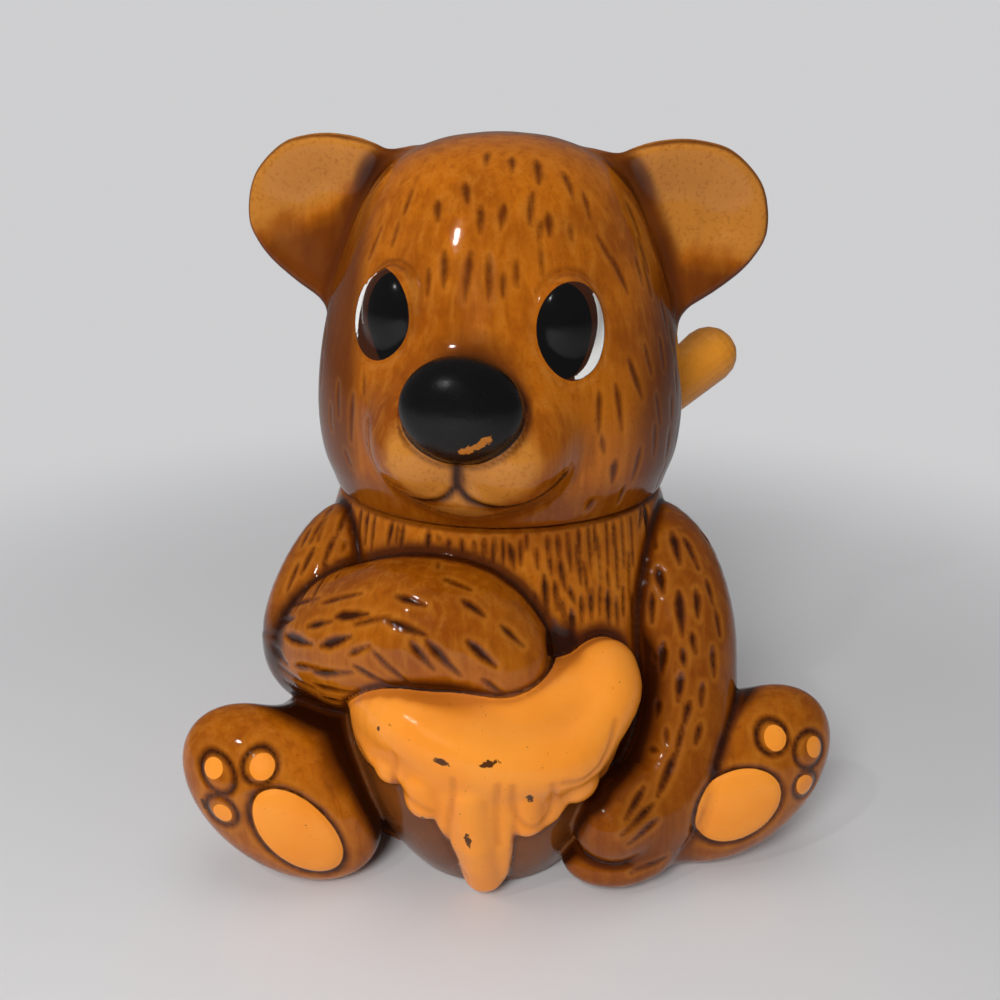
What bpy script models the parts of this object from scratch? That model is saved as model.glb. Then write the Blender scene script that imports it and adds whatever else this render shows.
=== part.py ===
"""A ceramic honey pot in the shape of a seated bear, with its lift-off head and its honey dipper.

Lengths are in metres and angles in radians. The bear faces -Y and +X is on the viewer's right. The origin is
on the resting face, under the middle of the jar's mouth.
"""

import math

import bmesh
import bpy
from mathutils import Euler, Vector

# Jar: the turned body that the limbs and the little pot are cast onto.
NECK_HEIGHT = 0.067
NECK_RADIUS = 0.0330
BELLY_RADIUS = 0.0440
BASE_RADIUS = 0.0370
MOUTH_RADIUS = 0.0280
MOUTH_DEPTH = 0.0080
BODY_WALL = 0.0050
FLOOR_THICKNESS = 0.0060

# Head: a turned skull that carries the face and the ears, and a ring that sits in the jar's mouth.
HEAD_HEIGHT = 0.0680
CHEEK_RADIUS = 0.0368
HEAD_WALL = 0.0045
SEAT_GAP = 0.0003
RING_CLEARANCE = 0.0010
RING_WALL = 0.0035
RING_DEPTH = 0.0060
FACE_HEIGHT = 0.0363
FACE_TURN = math.radians(-11.5)
FACE_TILT = math.radians(2.2)

# Ears: round dishes on the top corners of the skull, each with a fuller root.
EARS_TURN = math.radians(-9)
EARS_TILT = math.radians(1)
EAR_RADIUS = 0.0155
EAR_ROOT_RADII = (0.0165, 0.0046, 0.0150)
EAR_ROOT_SETBACK = 0.0018
EAR_THICKNESS = 0.0110
EAR_REACH = 0.0362
EAR_LIFT = 0.0152
EAR_ROOT_REACH = 0.0270
EAR_ROOT_LIFT = 0.0105
EAR_SETBACK = 0.0020
EAR_FLARE = math.radians(10)

# Face: half sizes of its forms across, forwards and up, and where their middles lie.
MUZZLE_RADII = (0.0180, 0.0150, 0.0125)
MUZZLE_REACH = 0.0300
MUZZLE_DROP = 0.0185
CHIN_RADII = (0.0100, 0.0090, 0.0060)
CHIN_REACH = 0.0320
CHIN_DROP = 0.0275
NOSE_RADII = (0.0104, 0.0068, 0.0090)
NOSE_REACH = 0.0430
NOSE_DROP = 0.0120
EYE_RADII = (0.0066, 0.0042, 0.0083)
EYE_RELIEF = 0.0010
EYE_LIFT = 0.0005
EYE_BEARING = math.radians(28.7)

# Arms: the crossing arm is on the viewer's left and the holding arm on the right.
ARM_RADIUS = 0.0150
FINGER_RADII = (0.0095, 0.0062, 0.0046)
FINGER_PLACE = (0.0182, -0.0455, 0.0042)

# Legs, and the pads on their soles.
SOLE_RADII = (0.0212, 0.0105, 0.0137)
SOLE_SPREAD = 0.0880
SOLE_REACH = 0.0370
SOLE_LIFT = 0.0165
SOLE_TILT = math.radians(37)
SOLE_LEAN = math.radians(-16)
SOLE_SPLAY = math.radians(14)
LEG_RADIUS = 0.0140
PAD_RELIEF = 0.0011
PAD_RADII = (0.0098, 0.0030, 0.0062)
TOE_RADIUS = 0.0030

# Little pot between the paws, and the honey that runs over its rim.
POT_RADIUS = 0.0262
POT_HEIGHT = 0.0350
POT_OFFSET = -0.0028
POT_REACH = 0.0288
POT_TILT = math.radians(-5)
HONEY_RADIUS = 0.0058
HONEY_LEVEL_RADII = (0.0220, 0.0155, 0.0115)
HONEY_LEVEL_PLACE = (-0.0020, -0.0380, 0.0310)

# Dipper: a turned handle with a grooved head, leaning in the jar and out over its rim.
DIPPER_LENGTH = 0.1040
DIPPER_DEPTH = 0.0360
DIPPER_SLOPE = math.radians(33)
DIPPER_BEARING = math.radians(21)
HANDLE_NECK_RADIUS = 0.0036
HANDLE_RIM_RADIUS = 0.0047
HANDLE_END_RADIUS = 0.0064
HANDLE_CLEARANCE = 0.0003
NOTCH_CLEARANCE = 0.0012
GROOVED_RADIUS = 0.0088
GROOVED_LENGTH = 0.0230
GROOVE_DEPTH = 0.0034
GROOVE_COUNT = 6
GROOVE_WALL_SHARES = (0.15, 0.85)
BARREL_SHARE = 0.6

# How far a cutter runs past what it cuts, and how near two points are one.
OVERRUN = 0.0050
MERGE_DISTANCE = 0.00001

# Outlines: the radius and the height of each point, as shares of the piece's own radius and height.
BODY_OUTLINE_SHARES = (
    (0.775, 0.950), (0.815, 0.860), (0.880, 0.720), (0.955, 0.560), (1.000, 0.380), (0.995, 0.230),
    (0.960, 0.110), (0.905, 0.035),
)
BODY_HOLLOW_SHARES = (
    (0.82, 0.80), (0.90, 0.66), (0.97, 0.50), (1.00, 0.34), (0.98, 0.16), (0.90, 0.05), (0.78, 0.00),
)
SKULL_OUTLINE_SHARES = (
    (0.100, 0.998), (0.300, 0.983), (0.510, 0.935), (0.690, 0.850), (0.830, 0.730), (0.930, 0.580),
    (0.985, 0.410), (1.000, 0.260), (0.975, 0.120), (0.935, 0.040),
)
SKULL_HOLLOW_SHARES = (
    (0.200, 0.930), (0.500, 0.850), (0.740, 0.710), (0.880, 0.520), (0.930, 0.330), (0.900, 0.190),
)
EAR_OUTLINE_SHARES = (
    (0.00, 0.10), (0.35, 0.14), (0.62, 0.25), (0.80, 0.41), (0.89, 0.48), (0.96, 0.45), (1.00, 0.30),
    (0.97, 0.08), (0.85, -0.18), (0.60, -0.38), (0.30, -0.48), (0.00, -0.50),
)
POT_OUTLINE_SHARES = ((0.94, 1.00), (1.00, 0.90), (0.99, 0.72), (0.93, 0.45), (0.80, 0.20), (0.64, 0.00))

# Limbs: x and y of each point as shares of the belly's radius, z of the neck's height, and the limb's radius.
HOLDING_ARM_SHARES = (
    (0.69, -0.29, 0.84, 0.64), (0.73, -0.42, 0.76, 0.74), (0.765, -0.57, 0.64, 0.78),
    (0.775, -0.67, 0.475, 0.75), (0.74, -0.775, 0.335, 0.74), (0.64, -0.91, 0.225, 0.67),
    (0.49, -1.02, 0.19, 0.59), (0.40, -1.08, 0.185, 0.52),
)
UPPER_ARM_SHARES = ((-0.68, -0.25, 0.84, 0.64), (-0.71, -0.33, 0.76, 0.80), (-0.78, -0.42, 0.64, 0.95))
FOREARM_SHARES = (
    (-0.79, -0.42, 0.59, 0.93), (-0.62, -0.66, 0.66, 0.96), (-0.42, -0.80, 0.72, 0.97),
    (-0.20, -0.86, 0.725, 0.93), (-0.05, -0.92, 0.65, 0.72),
)
LEG_SHARES = ((0.50, -0.20, 0.24, 1.00), (0.72, -0.45, 0.25, 1.00), (0.90, -0.68, 0.26, 0.93))

# Round ends of a limb, and rings along the dipper's shank, as shares of a quarter turn and of the length.
ROUND_END_SHARES = (0.35, 0.65, 0.90)
SHANK_SHARES = (0.80, 0.60, 0.40, 0.20, 0.03)

# Pads: places on a sole, as shares of its half length and half width, with the toes towards -1.
PAD_SHARES = (0.17, -0.10)
TOE_SHARES = ((-0.43, 0.34), (-0.71, -0.05), (-0.45, -0.42))

# Honey: bearing round the little pot from its front, then the height and the tube's radius as shares.
HONEY_RIM_SHARES = (
    (-1.12, 0.98, 0.85), (-0.82, 0.97, 1.00), (-0.40, 0.95, 1.05), (0.14, 0.93, 1.05), (0.52, 0.97, 1.05),
    (0.85, 1.08, 1.00), (1.10, 1.15, 0.95), (1.30, 1.13, 0.82),
)
DRIP_TOP_SHARE = 0.90
HONEY_DRIP_SHARES = (
    (-0.90, 0.78, 1.00), (-0.55, 0.72, 1.05), (-0.13, 0.16, 1.00), (0.24, 0.57, 1.00), (0.50, 0.74, 1.05),
    (0.78, 0.68, 1.05), (1.15, 0.78, 0.95),
)

model = bpy.data.collections.new("bear_honey_pot")
helpers = bpy.data.collections.new("joining_and_cutting_shapes")


def clear_scene():
    for old in list(bpy.data.objects):
        bpy.data.objects.remove(old)
    for collection in (model, helpers):
        bpy.context.scene.collection.children.link(collection)


def material(name, colour, roughness):
    made = bpy.data.materials.new(name)
    made.use_nodes = True
    shader = made.node_tree.nodes["Principled BSDF"]
    shader.inputs["Base Color"].default_value = (*colour, 1)
    shader.inputs["Roughness"].default_value = roughness
    shader.inputs["Metallic"].default_value = 0
    return made


def add(name, mesh, collection):
    made = bpy.data.objects.new(name, mesh)
    collection.objects.link(made)
    if collection is helpers:
        made.hide_render = True
        made.display_type = "WIRE"
    return made


def turned(name, outline, collection, steps=40):
    """A solid turned round its own Z from (radius, height) points that run down its outer side."""
    mesh = bpy.data.meshes.new(name)
    points = [(radius, 0, height) for radius, height in outline]
    mesh.from_pydata(points, [(i, i + 1) for i in range(len(points) - 1)], [])
    made = add(name, mesh, collection)
    screw = made.modifiers.new("turn", "SCREW")
    screw.steps = steps
    screw.render_steps = steps
    screw.use_merge_vertices = True
    screw.merge_threshold = MERGE_DISTANCE
    screw.use_smooth_shade = True
    return made


def ellipsoid(name, radii, place, turn=(0, 0, 0), segments=24, rings=14):
    """A helper of the given half sizes. Its own scale is applied to its mesh."""
    mesh = bpy.data.meshes.new(name)
    form = bmesh.new()
    bmesh.ops.create_uvsphere(form, u_segments=segments, v_segments=rings, radius=1)
    bmesh.ops.scale(form, vec=radii, verts=form.verts)
    form.to_mesh(mesh)
    form.free()
    mesh.shade_smooth()
    made = add(name, mesh, helpers)
    made.location = place
    made.rotation_euler = turn
    return made


def rounded_ends(points, radii):
    """The points and radii of a limb, with a round cap added at each end."""
    steps = [math.radians(share * 90) for share in ROUND_END_SHARES]
    first = (points[0] - points[1]).normalized()
    last = (points[-1] - points[-2]).normalized()
    start = [(points[0] + first * radii[0] * math.sin(a), radii[0] * math.cos(a)) for a in reversed(steps)]
    end = [(points[-1] + last * radii[-1] * math.sin(a), radii[-1] * math.cos(a)) for a in steps]
    middle = list(zip(points, radii))
    return start + middle + end


def limb(name, points, radii, sides=5):
    """A tapering round limb with round ends, as a helper mesh made from a curve."""
    capped = rounded_ends([Vector(point) for point in points], radii)
    curve = bpy.data.curves.new(name, "CURVE")
    curve.dimensions = "3D"
    curve.bevel_depth = 1
    curve.bevel_resolution = sides
    curve.use_fill_caps = True
    spline = curve.splines.new("POLY")
    spline.points.add(len(capped) - 1)
    for point, (place, radius) in zip(spline.points, capped):
        point.co = (*place, 1)
        point.radius = radius
    shape = add(name + "_curve", curve, helpers)
    bpy.context.view_layer.update()
    mesh = bpy.data.meshes.new_from_object(shape.evaluated_get(bpy.context.evaluated_depsgraph_get()))
    form = bmesh.new()
    form.from_mesh(mesh)
    bmesh.ops.remove_doubles(form, verts=form.verts, dist=MERGE_DISTANCE)
    bmesh.ops.recalc_face_normals(form, faces=form.faces)
    form.to_mesh(mesh)
    form.free()
    mesh.shade_smooth()
    made = add(name, mesh, helpers)
    made.matrix_world = shape.matrix_world
    bpy.data.objects.remove(shape)
    return made


def smooth_path(points, steps=3):
    """Points on a smooth curve through the given ones, each a tuple of numbers."""
    ends = [points[0], *points, points[-1]]
    path = []
    for a, b, c, d in zip(ends, ends[1:], ends[2:], ends[3:]):
        for step in range(steps):
            t = step / steps
            path.append([
                (2 * q + (r - p) * t + (2 * p - 5 * q + 4 * r - s) * t**2 + (3 * q - p - 3 * r + s) * t**3) / 2
                for p, q, r, s in zip(a, b, c, d)
            ])
    return path + [list(points[-1])]


def body_limb(name, shares, radius, side=1):
    """A limb on the jar, from shares of the belly's radius, the neck's height and the limb's radius."""
    path = smooth_path(shares)
    points = [(side * x * BELLY_RADIUS, y * BELLY_RADIUS, z * NECK_HEIGHT) for x, y, z, _ in path]
    return limb(name, points, [share * radius for *_, share in path])


def boolean(target, tool, operation):
    step = target.modifiers.new(tool.name, "BOOLEAN")
    step.object = tool
    step.operation = operation
    step.solver = "EXACT"


def join(target, tools):
    for tool in tools:
        boolean(target, tool, "UNION")


def cut(target, tools):
    for tool in tools:
        boolean(target, tool, "DIFFERENCE")


def radius_at(outline, height):
    """The radius of a turned outline at a height, between the outline's points."""
    for (upper_radius, upper), (lower_radius, lower) in zip(outline, outline[1:]):
        if lower <= height <= upper:
            return lower_radius + (upper_radius - lower_radius) * (height - lower) / (upper - lower)
    raise ValueError("the height is outside the outline")


def body_outline():
    middle = [(r * BELLY_RADIUS, z * NECK_HEIGHT) for r, z in BODY_OUTLINE_SHARES]
    return [(0, NECK_HEIGHT), (NECK_RADIUS, NECK_HEIGHT), *middle, (BASE_RADIUS, 0), (0, 0)]


def body_hollow():
    width = BELLY_RADIUS - BODY_WALL
    depth = NECK_HEIGHT - FLOOR_THICKNESS
    middle = [(r * width, FLOOR_THICKNESS + z * depth) for r, z in BODY_HOLLOW_SHARES]
    top = NECK_HEIGHT + OVERRUN
    mouth = [(0, top), (MOUTH_RADIUS, top), (MOUTH_RADIUS, NECK_HEIGHT - MOUTH_DEPTH)]
    return turned("jar_hollow", [*mouth, *middle, (0, FLOOR_THICKNESS)], helpers)


def sole_turn(side):
    return Euler((SOLE_LEAN, -side * SOLE_TILT, side * SOLE_SPLAY))


def on_sole(side, shares, inset):
    """A place under the front of a sole, at shares of its half length and half width from its middle."""
    along, across = shares
    depth = math.sqrt(1 - along**2 - across**2)
    unit = Vector((along, -depth, across))
    surface = Vector([share * radius for share, radius in zip(unit, SOLE_RADII)])
    normal = Vector([share / radius for share, radius in zip(unit, SOLE_RADII)]).normalized()
    local = surface - normal * inset
    local.x *= -side
    local.rotate(sole_turn(side))
    return sole_centre(side) + local


def sole_centre(side):
    return Vector((side * SOLE_SPREAD / 2, -SOLE_REACH, SOLE_LIFT))


def foot(name, side):
    """A leg with its sole turned forwards, and the raised pads on the sole."""
    shapes = [body_limb(name + "_leg", LEG_SHARES, LEG_RADIUS, side)]
    shapes.append(ellipsoid(name + "_sole", SOLE_RADII, sole_centre(side), sole_turn(side), 28, 16))
    pad_place = on_sole(side, PAD_SHARES, PAD_RADII[1] - PAD_RELIEF)
    shapes.append(ellipsoid(name + "_pad", PAD_RADII, pad_place, sole_turn(side)))
    for number, shares in enumerate(TOE_SHARES, 1):
        place = on_sole(side, shares, TOE_RADIUS - PAD_RELIEF)
        shapes.append(ellipsoid(f"{name}_toe_{number}", [TOE_RADIUS] * 3, place, (0, 0, 0), 12, 8))
    return shapes


def round_pot(bearing, height, radius):
    """A place at a bearing, height and distance round the little pot's axis, with the pot's tilt."""
    place = Vector((radius * math.sin(bearing), -radius * math.cos(bearing), height))
    place.rotate(Euler((0, POT_TILT, 0)))
    return place + Vector((POT_OFFSET, -POT_REACH, 0))


def little_pot():
    outline = [(r * POT_RADIUS, z * POT_HEIGHT) for r, z in POT_OUTLINE_SHARES]
    sunk = [(outline[-1][0], -OVERRUN), (0, -OVERRUN)]
    pot = turned("little_pot", [(0, POT_HEIGHT), *outline, *sunk], helpers, 36)
    pot.location = (POT_OFFSET, -POT_REACH, 0)
    pot.rotation_euler = (0, POT_TILT, 0)
    return pot


def honey():
    """The thick band of honey on the rim, and the drips that hang from it."""
    path = smooth_path(HONEY_RIM_SHARES)
    rim_distance = POT_RADIUS - HONEY_RADIUS / 2
    points = [round_pot(bearing, height * POT_HEIGHT, rim_distance) for bearing, height, _ in path]
    shapes = [limb("honey_rim", points, [share * HONEY_RADIUS for *_, share in path], 4)]
    shapes.append(ellipsoid("honey_level", HONEY_LEVEL_RADII, HONEY_LEVEL_PLACE))
    outline = [(r * POT_RADIUS, z * POT_HEIGHT) for r, z in POT_OUTLINE_SHARES]
    for number, (bearing, low, width) in enumerate(HONEY_DRIP_SHARES, 1):
        heights = [(DRIP_TOP_SHARE - (DRIP_TOP_SHARE - low) * step / 4) * POT_HEIGHT for step in range(5)]
        distances = [radius_at(outline, height) - HONEY_RADIUS / 2 for height in heights]
        points = [round_pot(bearing, height, distance) for height, distance in zip(heights, distances)]
        shapes.append(limb(f"honey_drip_{number}", points, [width * HONEY_RADIUS] * 5, 4))
    return shapes


def ground():
    """A block under the resting face, which trims what reaches below it."""
    mesh = bpy.data.meshes.new("below_base")
    form = bmesh.new()
    bmesh.ops.create_cube(form, size=4 * (BELLY_RADIUS + SOLE_SPREAD))
    form.to_mesh(mesh)
    form.free()
    made = add("below_base", mesh, helpers)
    made.location = (0, 0, -2 * (BELLY_RADIUS + SOLE_SPREAD))
    return made


def make_body():
    body = turned("pot_body", body_outline(), model)
    for side, name in ((-1, "left"), (1, "right")):
        join(body, foot(name, side))
    join(body, [
        body_limb("holding_arm", HOLDING_ARM_SHARES, ARM_RADIUS),
        body_limb("upper_arm", UPPER_ARM_SHARES, ARM_RADIUS),
        little_pot(),
        body_limb("forearm", FOREARM_SHARES, ARM_RADIUS),
        ellipsoid("finger", FINGER_RADII, FINGER_PLACE),
        *honey(),
    ])
    cut(body, [body_hollow(), ground()])
    body.data.materials.append(material("amber_glaze_body", (0.30, 0.105, 0.016), 0.12))
    return body


def seat_height():
    return NECK_HEIGHT + SEAT_GAP


def skull_outline():
    seat = seat_height()
    middle = [(r * CHEEK_RADIUS, seat + z * HEAD_HEIGHT) for r, z in SKULL_OUTLINE_SHARES]
    return [(0, seat + HEAD_HEIGHT), *middle, (NECK_RADIUS, seat), (0, seat)]


def skull_hollow():
    seat = seat_height()
    width = CHEEK_RADIUS - HEAD_WALL
    inner = MOUTH_RADIUS - RING_CLEARANCE - RING_WALL
    middle = [(r * width, seat + z * HEAD_HEIGHT) for r, z in SKULL_HOLLOW_SHARES]
    crown = seat + HEAD_HEIGHT - HEAD_WALL
    throat = [(inner, seat + 2 * HEAD_WALL), (inner, seat - RING_DEPTH - OVERRUN)]
    return turned("skull_hollow", [(0, crown), *middle, *throat, (0, throat[1][1])], helpers)


def locating_ring():
    seat = seat_height()
    outer = MOUTH_RADIUS - RING_CLEARANCE
    top = seat + HEAD_WALL
    low = seat - RING_DEPTH
    return turned("locating_ring", [(0, top), (outer, top), (outer, low), (0, low)], helpers)


def turning_point(name, tilt, turn):
    """An empty in the middle of the skull that carries what is turned and tilted with it."""
    made = bpy.data.objects.new(name, None)
    model.objects.link(made)
    made.location = (0, 0, seat_height() + FACE_HEIGHT)
    made.rotation_euler = (0, tilt, turn)
    return made


def ears():
    """Two turned dishes that face forwards, and the fuller roots that join them to the skull."""
    turn = turning_point("ears_turn", EARS_TILT, EARS_TURN)
    shapes = []
    for side, name in ((-1, "left"), (1, "right")):
        outline = [(r * EAR_RADIUS, z * EAR_THICKNESS) for r, z in EAR_OUTLINE_SHARES]
        dish = turned(name + "_ear", outline, helpers, 40)
        dish.location = (side * EAR_REACH, EAR_SETBACK, EAR_LIFT)
        dish.rotation_euler = (math.pi / 2, 0, side * EAR_FLARE)
        place = (side * EAR_ROOT_REACH, EAR_ROOT_SETBACK, EAR_ROOT_LIFT)
        root = ellipsoid(name + "_ear_root", EAR_ROOT_RADII, place, (0, 0, side * EAR_FLARE))
        shapes += [dish, root]
    for shape in shapes:
        shape.parent = turn
    return shapes


def face_shapes():
    """The muzzle, chin, nose and eyes, turned and tilted together about the middle of the skull."""
    turn = turning_point("face_turn", FACE_TILT, FACE_TURN)
    shapes = [
        ellipsoid("muzzle", MUZZLE_RADII, (0, -MUZZLE_REACH, -MUZZLE_DROP), (0, 0, 0), 28, 18),
        ellipsoid("chin", CHIN_RADII, (0, -CHIN_REACH, -CHIN_DROP)),
        ellipsoid("nose", NOSE_RADII, (0, -NOSE_REACH, -NOSE_DROP)),
    ]
    skull_radius = radius_at(skull_outline(), seat_height() + FACE_HEIGHT + EYE_LIFT)
    distance = skull_radius - EYE_RADII[1] + EYE_RELIEF
    for side, name in ((-1, "left"), (1, "right")):
        bearing = side * EYE_BEARING
        eye_place = (distance * math.sin(bearing), -distance * math.cos(bearing), EYE_LIFT)
        shapes.append(ellipsoid(name + "_eye", EYE_RADII, eye_place, (0, 0, bearing)))
    for shape in shapes:
        shape.parent = turn
    return shapes


def handle_radius(along):
    """The handle's radius at a distance along the dipper from where its axis meets the jar's."""
    rim = MOUTH_RADIUS / math.cos(DIPPER_SLOPE)
    end = DIPPER_LENGTH - DIPPER_DEPTH - HANDLE_END_RADIUS
    if along >= rim:
        return HANDLE_RIM_RADIUS + (HANDLE_END_RADIUS - HANDLE_RIM_RADIUS) * (along - rim) / (end - rim)
    neck = GROOVED_LENGTH - DIPPER_DEPTH
    return HANDLE_NECK_RADIUS + (HANDLE_RIM_RADIUS - HANDLE_NECK_RADIUS) * (along - neck) / (rim - neck)


def dipper_height():
    """The height at which the dipper's axis meets the jar's, for a handle that just clears the rim."""
    rise = (HANDLE_RIM_RADIUS + HANDLE_CLEARANCE) / math.cos(DIPPER_SLOPE)
    return NECK_HEIGHT + rise - MOUTH_RADIUS * math.tan(DIPPER_SLOPE)


def handle_notch():
    """An arch through the back of the head and its ring, open below, that the handle leaves by."""
    outside = CHEEK_RADIUS / math.cos(DIPPER_SLOPE)
    radius = handle_radius(outside)
    half_width = radius + NOTCH_CLEARANCE
    axis_height = dipper_height() + CHEEK_RADIUS * math.tan(DIPPER_SLOPE)
    top = axis_height + radius / math.cos(DIPPER_SLOPE) + NOTCH_CLEARANCE
    low = seat_height() - RING_DEPTH - OVERRUN
    arch = [math.pi * step / 12 for step in range(13)]
    outline = [(half_width * math.cos(a), top - half_width + half_width * math.sin(a)) for a in arch]
    outline += [(-half_width, low), (half_width, low)]
    curve = bpy.data.curves.new("notch_outline", "CURVE")
    curve.dimensions = "2D"
    curve.fill_mode = "BOTH"
    curve.extrude = (CHEEK_RADIUS + OVERRUN - MOUTH_RADIUS / 2) / 2
    spline = curve.splines.new("POLY")
    spline.points.add(len(outline) - 1)
    for point, (across, height) in zip(spline.points, outline):
        point.co = (across, height, 0, 1)
    spline.use_cyclic_u = True
    shape = add("notch_curve", curve, helpers)
    bpy.context.view_layer.update()
    mesh = bpy.data.meshes.new_from_object(shape.evaluated_get(bpy.context.evaluated_depsgraph_get()))
    form = bmesh.new()
    form.from_mesh(mesh)
    bmesh.ops.remove_doubles(form, verts=form.verts, dist=MERGE_DISTANCE)
    bmesh.ops.recalc_face_normals(form, faces=form.faces)
    form.to_mesh(mesh)
    form.free()
    bpy.data.objects.remove(shape)
    notch = add("handle_notch", mesh, helpers)
    middle = MOUTH_RADIUS / 2 + curve.extrude
    notch.location = (middle * math.cos(DIPPER_BEARING), middle * math.sin(DIPPER_BEARING), 0)
    notch.rotation_euler = (math.pi / 2, 0, DIPPER_BEARING + math.pi / 2)
    return notch


def make_head():
    head = turned("head_lid", skull_outline(), model)
    join(head, [*ears(), *face_shapes(), locating_ring()])
    cut(head, [skull_hollow(), handle_notch()])
    head.data.materials.append(material("amber_glaze_head", (0.34, 0.125, 0.020), 0.12))
    return head


def grooved_head():
    """The outline of the dipper's head, ridge by ridge, from its shoulder down."""
    bands = 2 * GROOVE_COUNT + 1
    pitch = GROOVED_LENGTH / bands
    top = GROOVED_LENGTH - DIPPER_DEPTH
    outline = []
    for band in range(bands):
        upper = top - band * pitch
        middle = (band + 1 / 2) / bands
        barrel = GROOVED_RADIUS * math.sqrt(1 - (BARREL_SHARE * (2 * middle - 1)) ** 2)
        if band % 2:
            core = barrel - GROOVE_DEPTH
            outline += [(core, upper - pitch * share) for share in GROOVE_WALL_SHARES]
        else:
            shoulder = barrel - pitch / 4
            outline += [(shoulder, upper), (barrel, upper - pitch / 4)]
            outline += [(barrel, upper - 3 * pitch / 4), (shoulder, upper - pitch)]
    return outline


def make_dipper():
    end = DIPPER_LENGTH - DIPPER_DEPTH
    dome = []
    for degrees in (90, 72, 54, 36, 18, 0):
        angle = math.radians(degrees)
        height = end - HANDLE_END_RADIUS * (1 - math.sin(angle))
        dome.append((HANDLE_END_RADIUS * math.cos(angle) if degrees < 90 else 0, height))
    neck = GROOVED_LENGTH - DIPPER_DEPTH
    shank = [neck + (end - HANDLE_END_RADIUS - neck) * share for share in SHANK_SHARES]
    handle = [(handle_radius(along), along) for along in shank]
    outline = [*dome, *handle, *grooved_head()]
    dipper = turned("dipper", [*outline, (0, outline[-1][1])], model, 24)
    dipper.location = (0, 0, dipper_height())
    dipper.rotation_euler = (0, math.pi / 2 - DIPPER_SLOPE, DIPPER_BEARING)
    dipper.data.materials.append(material("amber_dipper", (0.48, 0.14, 0.008), 0.25))
    return dipper


def main():
    clear_scene()
    make_body()
    make_head()
    make_dipper()


main()
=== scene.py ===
"""The looks of a glazed bear honey pot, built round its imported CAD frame.

Both castings are distance fields in millimetres, negative inside. A mesh is taken from each field,
lines are carved into it, and its vertices carry the masks that the materials read.
"""

import math

import bpy
import numpy as np
from mathutils import Euler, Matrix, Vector


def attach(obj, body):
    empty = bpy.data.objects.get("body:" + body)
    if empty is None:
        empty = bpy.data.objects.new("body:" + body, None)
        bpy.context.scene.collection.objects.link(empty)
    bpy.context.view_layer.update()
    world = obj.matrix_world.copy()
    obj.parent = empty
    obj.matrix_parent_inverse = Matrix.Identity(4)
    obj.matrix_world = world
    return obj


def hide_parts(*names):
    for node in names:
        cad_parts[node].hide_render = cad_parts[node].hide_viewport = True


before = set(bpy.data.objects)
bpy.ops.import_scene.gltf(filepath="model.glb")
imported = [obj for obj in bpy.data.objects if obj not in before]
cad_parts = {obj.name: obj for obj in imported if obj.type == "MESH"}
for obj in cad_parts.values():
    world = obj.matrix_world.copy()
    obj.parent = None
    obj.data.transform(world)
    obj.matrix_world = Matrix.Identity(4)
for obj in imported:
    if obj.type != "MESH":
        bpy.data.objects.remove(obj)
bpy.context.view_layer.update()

MM = 0.001
# Side of the cells that a mesh is taken from.
CELL = 0.62
# A distance that stands for nothing near.
NOWHERE = 99.0
# Degrees in a radian, and the way that the front is looked at.
PER_RADIAN = 57.3
AHEAD = (0, 1, 0)
rng = np.random.default_rng(7)


# ------------ distances

def smin(a, b, k):
    """The smaller of two distances, with a fillet of about k where they meet."""
    h = np.maximum(k - np.abs(a - b), 0) / k
    return np.minimum(a, b) - h * h * k / 4


def smax(a, b, k):
    return -smin(-a, -b, k)


def step(x, low, high):
    """A smooth step from 0 at low to 1 at high."""
    t = np.clip((x - low) / (high - low), 0, 1)
    return t * t * (3 - 2 * t)


def turn(x=0.0, y=0.0, z=0.0):
    """A matrix whose columns are the axes of something turned by these degrees."""
    return np.array(Euler([math.radians(a) for a in (x, y, z)]).to_matrix(), np.float32)


def everywhere(p, value=NOWHERE):
    return np.full(len(p), value, np.float32)


def within(p, low, high):
    return np.all((p > low) & (p < high), axis=1)


def smooth_path(points, steps=4):
    """A smooth curve through points, which may hold a radius after their place."""
    p = np.array([points[0], *points, points[-1]], float)
    path = []
    for a, b, c, d in zip(p, p[1:], p[2:], p[3:]):
        for i in range(steps):
            t = i / steps
            square, cube = 2 * a - 5 * b + 4 * c - d, 3 * b - a - 3 * c + d
            path.append((2 * b + (c - a) * t + square * t**2 + cube * t**3) / 2)
    return np.array([*path, p[-1]], np.float32)


def ellipsoid(centre, radii, axes=None):
    """A form: its distance, and the corners of a box round it."""
    c, r = np.array(centre, np.float32), np.array(radii, np.float32)

    def distance(p):
        q = p - c
        if axes is not None:
            q = q @ axes
        k0 = np.linalg.norm(q / r, axis=1)
        k1 = np.linalg.norm(q / r**2, axis=1)
        return k0 * (k0 - 1) / np.maximum(k1, 1e-6)

    reach = max(radii)
    return distance, c - reach, c + reach


def limb(path):
    """A form that follows a path of places and radii."""
    def distance(p):
        best = everywhere(p)
        for a, b in zip(path, path[1:]):
            ab = b[:3] - a[:3]
            t = np.clip(((p - a[:3]) @ ab) / max(float(ab @ ab), 1e-6), 0, 1)
            near = np.linalg.norm(p - a[:3] - t[:, None] * ab, axis=1)
            best = np.minimum(best, near - a[3] - t * (b[3] - a[3]))
        return best

    low = (path[:, :3] - path[:, 3:]).min(0)
    high = (path[:, :3] + path[:, 3:]).max(0)
    return distance, low, high


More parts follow.
